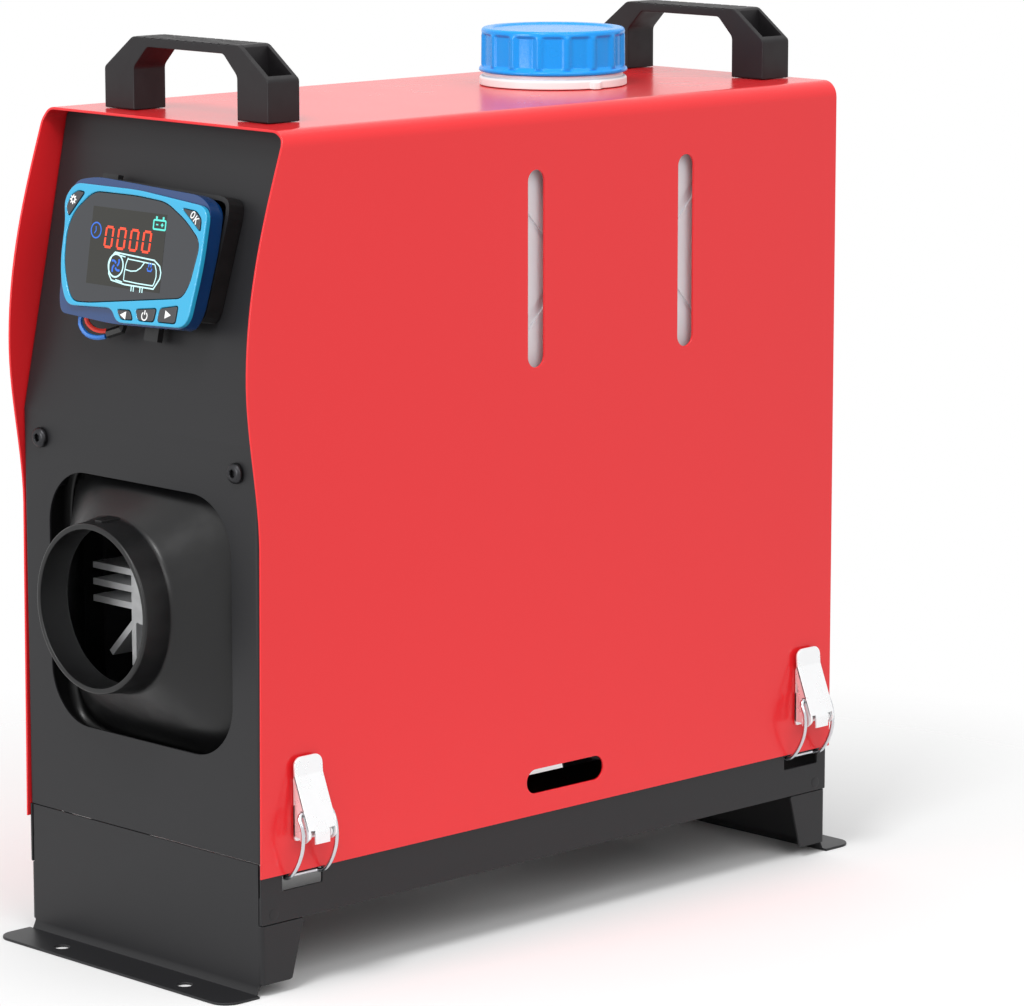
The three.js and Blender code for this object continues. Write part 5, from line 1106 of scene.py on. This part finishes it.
# key: name, colour, roughness, size of the grain and its depth in millimetres
MOULDED = {
    # soft satin keys, a little lighter than the window round them
    "key": ("Silicone grey key", "#3C3C3F", 0.4, 0.4, 0.002),
    "bracket": ("Polycarbonate black moulded", "#121213", 0.5, 0.5, 0.005),
    # clean white that goes grey only in its own shade
    "white": ("Polyethylene white moulded", "#F1F1F0", 0.35, 0.8, 0.003),
    "core": ("Nylon black moulded shell", "#1D1D1F", 0.5, 0.6, 0.006),
    "fan": ("Nylon dark grey moulded fan", "#232427", 0.4, 0.5, 0.004),
    # dead black and dull
    "rubber": ("Rubber black moulded", "#141414", 0.7, 0.5, 0.006),
    "filter": ("Nylon natural moulded filter", "#D8D2C0", 0.3, 0.8, 0.002),
    "laminate": ("Glass laminate green lacquered", "#1B5C35", 0.3, 0.8, 0.002),
    "sleeve": ("PVC black sleeve", "#151515", 0.45, 0.6, 0.004),
    "lead_blue": ("PVC blue insulation", "#1F6FC4", 0.35, 0.5, 0.002),
    "lead_red": ("PVC red insulation", "#D8392C", 0.35, 0.5, 0.002),
    # nearly black and smooth, so that it mirrors the room like the window over it
    "display": ("Liquid crystal cell unlit", "#24241F", 0.16, 3.0, 0.0003),
    "print": ("Ink white screen print", "#F4F4F4", 0.45, 0.4, 0.001),
}
# key: name, colour, roughness, size of the pattern and its depth in millimetres
METALS = {
    "screw": ("Steel screw blackened", "#3A3A3C", 0.4, 0.4, 0.002),
    # small bright highlights along the round wire
    "wire": ("Steel wire bright nickel plated", "#CFD2D6", 0.16, 1.2, 0.0008),
    "turned": ("Aluminium turned can", "#C4C7CB", 0.3, 1.0, 0.002),
    "burner": ("Stainless steel drawn tube", "#A9A8A6", 0.35, 1.2, 0.003),
}
# key: name, colour, share of the display's strength
LIT = {
    "digits": ("Display segments red lit", "#FF4A2A", 1.0),
    "lines": ("Display lines pale lit", "#C8F4F6", 0.9),
    "lines_blue": ("Display lines blue lit", "#2E6FE0", 0.8),
    "battery": ("Display battery sign turquoise lit", "#5FE8D8", 0.8),
}


def paints():
    """Every material, by name; each is made once."""
    case, control = bpy.context.scene.heater_case, bpy.context.scene.heater_controller
    made = {}
    # glossy red paint on steel, with a slight orange peel that breaks up its reflections
    made["red"] = powder_coat("Powder coat red gloss on steel", case.hood, 0.25, 2.2, 0.005, 0.15, 0.4)
    # satin black paint on steel with a finer peel, dark grey where the room is mirrored in it
    made["black"] = powder_coat("Powder coat black satin on steel", case.panel, 0.42, 0.9, 0.004,
                                specular=0.33)
    # black glass-filled nylon with the matt, even grain of an eroded mould
    made["duct"] = moulded("Nylon black moulded", case.duct, 0.33, 0.5, 0.005, specular=0.4)
    # black plastic, coarser grained and duller than the duct
    made["handle"] = moulded("Polypropylene black grained", case.handle, 0.5, 0.7, 0.01, specular=0.3)
    # bright blue, with soft highlights on its ribs
    made["cap"] = moulded("Polyethylene blue moulded cap", case.cap, 0.26, 1.2, 0.003, 0.1, 0.35)
    # glossy cyan front ring and the darker glossy cup behind it
    made["bezel"] = moulded("Polycarbonate cyan bezel", control.bezel, 0.22, 0.4, 0.0015, 0.5)
    made["housing"] = moulded("Polycarbonate navy pearl", control.housing, 0.25, 0.4, 0.0015, 0.5)
    # smoked acrylic over the display, smooth as glass
    made["window"] = moulded("Acrylic smoked window", control.glass, 0.12, 3.0, 0.0004)
    # plated sheet, nearly white under the lamps, with faint lines along the strip it was punched from
    made["zinc"] = metal("Steel sheet bright zinc plated", hex_colour("#F3F4F5"), 0.3, 1.6, 0.0012,
                         (1, 1, 0.15), 0.55)
    # the pale, sand-rough skin of a casting
    made["cast"] = metal("Aluminium die cast", hex_colour("#E9EAEB"), 0.5, 0.8, 0.01, share=0.3)
    made["tank"] = tank_plastic()
    for key, (name, colour, *surface) in MOULDED.items():
        made[key] = moulded(name, hex_colour(colour), *surface)
    for key, (name, colour, *surface) in METALS.items():
        made[key] = metal(name, hex_colour(colour), *surface)
    for key, (name, colour, share) in LIT.items():
        made[key] = glowing(name, hex_colour(colour), control.lit * share)
    return made


def tank_plastic():
    """Milky blow moulded polyethylene: some light goes in and comes out again nearby."""
    made, tree, shader = start_material("Polyethylene natural blow moulded", **{
        "Base Color": rgba(hex_colour("#EDEEF2")), "Subsurface Weight": 0.3, "Subsurface Scale": 0.004,
        "Subsurface Radius": (1.0, 0.9, 0.8)})
    bump(tree, shader, noise(tree, 4, 3), 0.02)
    tree.links.new(spread(tree, noise(tree, 12, 3), 0.38, 0.5), shader.inputs["Roughness"])
    return made


# ---------------------------------------------------------------- operators
MATERIALS = {}


def paint(name):
    if not MATERIALS:
        MATERIALS.update(paints())
    return MATERIALS[name]


class HEATER_OT_hood(bpy.types.Operator):
    """Fold the red hood, with its wavy front edge, level slots and cable slots"""
    bl_idname = "heater.hood"
    bl_label = "Hood"

    def execute(self, context):
        edge = context.scene.heater_case.edge / MM
        make_piece("hood_sheet", [hood_shell(edge)], paint("red"), replaces=["hood"])
        return {"FINISHED"}


class HEATER_OT_panels(bpy.types.Operator):
    """Fold the two black end panels and put in the front one's two screws"""
    bl_idname = "heater.panels"
    bl_label = "End panels"

    def execute(self, context):
        edge = context.scene.heater_case.edge / MM
        make_piece("front_panel_sheet", [panel_shell(edge, True)], paint("black"),
                   replaces=["front_panel"])
        rear = moved(panel_shell(edge, False), np.diag([-1.0, -1.0, 1.0]))
        make_piece("rear_panel_sheet", [rear], paint("black"),
                   replaces=["rear_panel"])
        for x, name in ((-PANEL_SCREW_X, "left"), (PANEL_SCREW_X, "right")):
            screw = moved(screw_shell(), TO_FRONT, (x, PANEL_FACE - GAP, PANEL_SCREW_Z))
            make_piece(f"panel_screw_{name}_button", [screw], paint("screw"),
                       replaces=[f"panel_screw_{name}"])
        return {"FINISHED"}


class HEATER_OT_duct(bpy.types.Operator):
    """Mould the warm air outlet: round collar, flare, frame, sleeve and ears"""
    bl_idname = "heater.duct"
    bl_label = "Outlet duct"

    def execute(self, context):
        make_piece("outlet_duct_moulding", duct_shells(), paint("duct"),
                   replaces=["outlet_duct"], sharp=40)
        return {"FINISHED"}


class HEATER_OT_handles(bpy.types.Operator):
    """Mould the two carrying handles and put a screw in each of their pockets"""
    bl_idname = "heater.handles"
    bl_label = "Handles"

    def execute(self, context):
        for name, y in zip(("front", "rear"), HANDLE_YS):
            shells = [moved(shell, shift=(0, y, 0)) for shell in handle_shells()]
            make_piece(f"{name}_handle_moulding", shells, paint("handle"),
                       replaces=[f"{name}_handle"], sharp=35)
            screws = [moved(pan_head(4.4, 2.4, 2.5, 8), shift=(x, y, HANDLE_FLOOR + 5.05))
                      for x in (-HANDLE_SCREW_X, HANDLE_SCREW_X)]
            make_piece(f"{name}_handle_screws", screws, paint("screw"))
        return {"FINISHED"}


class HEATER_OT_base(bpy.types.Operator):
    """Fold the two feet and the two rails and rivet them together"""
    bl_idname = "heater.base"
    bl_label = "Base"

    def execute(self, context):
        edge = context.scene.heater_case.edge / MM
        for side, name in ((-1, "left"), (1, "right")):
            rail = moved(rail_shell(edge), mirror_x=side < 0)
            make_piece(f"{name}_rail_sheet", [rail], paint("black"),
                       replaces=[f"{name}_rail"])
        half_turn = np.diag([-1.0, -1.0, 1.0])
        for name, turn in (("front", None), ("rear", half_turn)):
            shells = [moved(shell, turn) for shell in foot_shells(edge)]
            make_piece(f"{name}_foot_sheet", shells, paint("black"),
                       replaces=[f"{name}_foot"])
            behind, z = FOOT_RIVET
            rivet = moved(pan_head(2.6, 0.2, 1.6, 2.4, 24), ALONG_X, (RAIL_X, PANEL_FACE + behind, z))
            rivets = [moved(moved(rivet, mirror_x=side < 0), turn) for side in (-1, 1)]
            make_piece(f"{name}_foot_rivets", rivets, paint("black"))
        return {"FINISHED"}


class HEATER_OT_filler(bpy.types.Operator):
    """Mould the white collar on the hood and the ribbed blue filler cap"""
    bl_idname = "heater.filler"
    bl_label = "Filler"

    def execute(self, context):
        make_piece("filler_collar_moulding", collar_shells(), paint("white"),
                   replaces=["filler_collar"])
        cap = cap_shell(context.scene.heater_case.ribs)
        make_piece("filler_cap_moulding", [cap], paint("cap"), body="cap",
                   replaces=["filler_cap"])
        return {"FINISHED"}


class HEATER_OT_latches(bpy.types.Operator):
    """Press and bend the four toggle latches: base, lever and wire bail"""
    bl_idname = "heater.latches"
    bl_label = "Toggle latches"

    def execute(self, context):
        for side, side_name in ((1, "right"), (-1, "left")):
            for y, end in zip(LATCH_YS, ("front", "rear")):
                corner = f"{end}_{side_name}"
                for part, shells, look, body, slot in (
                        ("lever", lever_shells(), "zinc", f"lever_{corner}", "bright_zinc"),
                        ("base", base_shells(), "zinc", "case", "bright_zinc"),
                        ("bail", [bail_shell()], "wire", f"bail_{corner}", "plated_wire")):
                    shells = [latch_frame(shell, side, y) for shell in shells]
                    make_piece(f"latch_{part}_{corner}_pressed", shells, paint(look), body=body,
                               replaces=[f"latch_{part}_{corner}"])
        return {"FINISHED"}


class HEATER_OT_controller(bpy.types.Operator):
    """Mould the controller, print its keys and light its display"""
    bl_idname = "heater.controller"
    bl_label = "Controller"

    def execute(self, context):
        control = context.scene.heater_controller
        outline, window = soft(CONTROL, 7), soft(WINDOW, 5)
        keys = {name: soft(points, 1.6, 0, 5) for name, points in KEYS.items()}
        bezel = plate([outline, window[::-1], *(loop[::-1] for loop in keys.values())], BEZEL,
                      leaning(FACE_OFF), 0.55, 0.2, steps=3)
        make_piece("controller_bezel_moulding", [bezel], paint("bezel"),
                   replaces=["controller_bezel"], sharp=40)
        glass = plate([soft(WINDOW, 5, GAP)], 1.5, leaning(FACE_OFF - 0.3), 0.25)
        make_piece("controller_window_sheet", [glass], paint("window"),
                   replaces=["controller_window"])
        back = FACE_OFF - BEZEL - GAP
        shell = soft(HOUSING, 7)
        walls = plate([shell, soft(ROOM, 5)[::-1]], 6.4, leaning(back), 0.3, 0)
        floor = plate([shell], 1.0, leaning(back - 6.4), 0, 0.6)
        make_piece("controller_housing_moulding", [walls, floor], paint("housing"),
                   replaces=["controller_housing"], sharp=40)
        signs = key_marks()
        for name, points in KEYS.items():
            key = plate([soft(points, 1.3, GAP, 5)], 3.3, leaning(FACE_OFF + 0.3), 0.35, 0.1, steps=3)
            make_piece(f"button_{name}_moulding", [key], paint("key"), body=f"key_{name}",
                       replaces=[f"button_{name}"], sharp=60)
            make_piece(f"button_{name}_print", printed(signs[name], FACE_OFF + 0.3), paint("print"),
                       body=f"key_{name}")
        front = FACE_OFF - 0.3
        left, right, low, high = SCREEN
        screen = np.array([(left, low), (right, low), (right, high), (left, high)], float)
        for piece, marks, look, off in (
                ("display_cell", [[screen]], "display", front),
                ("display_figures", digit_marks(control.digits, -15.6, 77.1), "digits", front + 0.08),
                ("display_drawing", heater_marks(), "lines", front + 0.08),
                ("display_blue_signs", blue_marks(), "lines_blue", front + 0.08),
                ("display_battery_sign", battery_marks(), "battery", front + 0.08)):
            make_piece(piece, printed(on_display(marks), off), paint(look))
        return {"FINISHED"}


INSIDE = {
    "black": ["mount_plate", "tank_shelf"],
    "tank": ["fuel_tank"],
    "white": ["cap_liner"],
    "rubber": ["cap_gasket", "pad_gasket", "pump_mount", "hose_filter_to_pump", "hose_pump_to_burner"],
    "core": ["core_lower_shell", "core_upper_shell", "intake_grille"],
    "cast": ["heat_exchanger", "blower_motor", "combustion_impeller"],
    "burner": ["burner", "glow_plug"],
    "fan": ["fan_wheel"],
    "laminate": ["control_board", "display_board"],
    "turned": ["fuel_pump"],
    "filter": ["fuel_filter"],
    "bracket": ["controller_bracket"],
    "lead_blue": ["wire_blue"],
    "lead_red": ["wire_red"],
    "sleeve": ["controller_cable"],
}


class HEATER_OT_inside(bpy.types.Operator):
    """Give the frame nodes that stay as they are their materials"""
    bl_idname = "heater.inside"
    bl_label = "Inner parts"

    def execute(self, context):
        for look, names in INSIDE.items():
            for name in names:
                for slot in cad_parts[name].material_slots:
                    slot.material = paint(look)
        return {"FINISHED"}


def area_lamp(name, place, target, size, power, colour=(1, 1, 1)):
    lamp = bpy.data.lights.new(name, "AREA")
    lamp.shape, lamp.size, lamp.size_y = "RECTANGLE", size[0], size[1]
    lamp.energy, lamp.color = power, colour
    holder = bpy.data.objects.new(name, lamp)
    holder.location = place
    holder.rotation_euler = (Vector(target) - Vector(place)).to_track_quat("-Z", "Y").to_euler()
    bpy.context.scene.collection.objects.link(holder)
    holder.visible_camera = False
    return holder


CAMERA_PLACE = (1.52743, -1.43906, 0.55866)
CAMERA_ANGLES = (45.743, 10.155, -0.021)    # azimuth, elevation and roll, in degrees
AROUND = 0.62                               # light from all sides
FLOOR_REACH = 1.0
FLOOR_FADE = (0.2, 0.5)                     # the paper turns into the white surroundings between these


class HEATER_OT_stage(bpy.types.Operator):
    """Set up the camera, the floor, the white surroundings and the lamps"""
    bl_idname = "heater.stage"
    bl_label = "Stage"

    def execute(self, context):
        scene, settings = context.scene, context.scene.heater_stage
        azimuth, elevation, roll = (math.radians(angle) for angle in CAMERA_ANGLES)
        back = Vector((math.sin(azimuth) * math.cos(elevation), -math.cos(azimuth) * math.cos(elevation),
                       math.sin(elevation)))
        camera = bpy.data.cameras.new("Camera")
        camera.lens, camera.sensor_width = settings.lens, 36.0
        camera.clip_start, camera.clip_end = 0.05, 50
        holder = bpy.data.objects.new("Camera", camera)
        turn = back.to_track_quat("Z", "Y").to_matrix() @ Matrix.Rotation(roll, 3, "Z")
        holder.matrix_world = Matrix.Translation(CAMERA_PLACE) @ turn.to_4x4()
        scene.collection.objects.link(holder)
        scene.camera = holder
        scene.view_settings.view_transform = "Standard"

        world = bpy.data.worlds.new("Studio")
        world.use_nodes = True
        tree = world.node_tree
        tree.nodes.clear()
        ray = add_node(tree, "ShaderNodeLightPath").outputs
        mirrored = add_node(tree, "ShaderNodeMath", {0: ray["Is Camera Ray"], 1: ray["Is Glossy Ray"]},
                            operation="MAXIMUM").outputs[0]
        seen = add_node(tree, "ShaderNodeMath", {0: mirrored, 1: ray["Is Transmission Ray"]},
                        operation="MAXIMUM").outputs[0]
        soft_box = add_node(tree, "ShaderNodeBackground", {"Color": (1, 1, 1, 1), "Strength": AROUND})
        white = add_node(tree, "ShaderNodeBackground", {"Color": (1, 1, 1, 1), "Strength": settings.backdrop})
        mix = add_node(tree, "ShaderNodeMixShader", {"Fac": seen, 1: soft_box.outputs[0],
                                                     2: white.outputs[0]})
        add_node(tree, "ShaderNodeOutputWorld", {"Surface": mix.outputs[0]})
        scene.world = world

        # the paper keeps the object's shadow and gives way to the white backdrop around it
        floor_paint, tree, shader = start_material("Paper white sweep", **{
            "Base Color": rgba(hex_colour("#F2F2F2")), "Roughness": 0.9, "Specular IOR Level": 0.0})
        away = add_node(tree, "ShaderNodeVectorMath", {
            0: add_node(tree, "ShaderNodeTexCoord").outputs["Object"]}, operation="LENGTH").outputs["Value"]
        fade = spread(tree, away, 1, 0, *FLOOR_FADE)
        tree.links.new(fade, shader.inputs["Alpha"])
        mesh = bpy.data.meshes.new("floor")
        corners = [(x * FLOOR_REACH, y * FLOOR_REACH, 0) for x, y in ((-1, -1), (1, -1), (1, 1), (-1, 1))]
        mesh.from_pydata(corners, [], [(0, 1, 2, 3)])
        mesh.materials.append(floor_paint)
        floor = bpy.data.objects.new("floor", mesh)
        scene.collection.objects.link(floor)

        target = (0, 0, 0.2)
        area_lamp("Key lamp", (2.2, -0.5, 1.9), target, (1.8, 1.8), settings.key)
        area_lamp("Front lamp", (-0.2, -2.6, 0.7), target, (1.0, 1.0), settings.key)
        area_lamp("Sheen lamp", (0.62, -1.5, 2.35), (0, -0.18, 0.16), (0.7, 0.7), settings.key * 1.2)
        area_lamp("Top lamp", (0.2, 0.6, 2.6), target, (1.6, 1.6), settings.key * 0.4)
        return {"FINISHED"}


class HEATER_PT_panel(bpy.types.Panel):
    """Sidebar panel with the settings and one button for each group of pieces"""
    bl_idname = "HEATER_PT_panel"
    bl_label = "Diesel air heater"
    bl_space_type = "VIEW_3D"
    bl_region_type = "UI"
    bl_category = "Heater"

    def draw(self, context):
        for group in ("heater_case", "heater_controller", "heater_stage"):
            box = self.layout.box()
            settings = getattr(context.scene, group)
            for name in settings.__annotations__:
                box.prop(settings, name)
        for step in STEPS:
            self.layout.operator(step.bl_idname)


STEPS = (HEATER_OT_hood, HEATER_OT_panels, HEATER_OT_duct, HEATER_OT_handles, HEATER_OT_base,
         HEATER_OT_filler, HEATER_OT_latches, HEATER_OT_controller, HEATER_OT_inside, HEATER_OT_stage)
CLASSES = (HeaterCaseSettings, HeaterControllerSettings, HeaterStageSettings, *STEPS, HEATER_PT_panel)


def register():
    for item in CLASSES:
        bpy.utils.register_class(item)
    bpy.types.Scene.heater_case = PointerProperty(type=HeaterCaseSettings)
    bpy.types.Scene.heater_controller = PointerProperty(type=HeaterControllerSettings)
    bpy.types.Scene.heater_stage = PointerProperty(type=HeaterStageSettings)


def unregister():
    del bpy.types.Scene.heater_case, bpy.types.Scene.heater_controller, bpy.types.Scene.heater_stage
    for item in reversed(CLASSES):
        bpy.utils.unregister_class(item)


def main():
    register()
    for step in STEPS:
        group, name = step.bl_idname.split(".")
        getattr(getattr(bpy.ops, group), name)()
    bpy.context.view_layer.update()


if __name__ == "__main__":
    main()
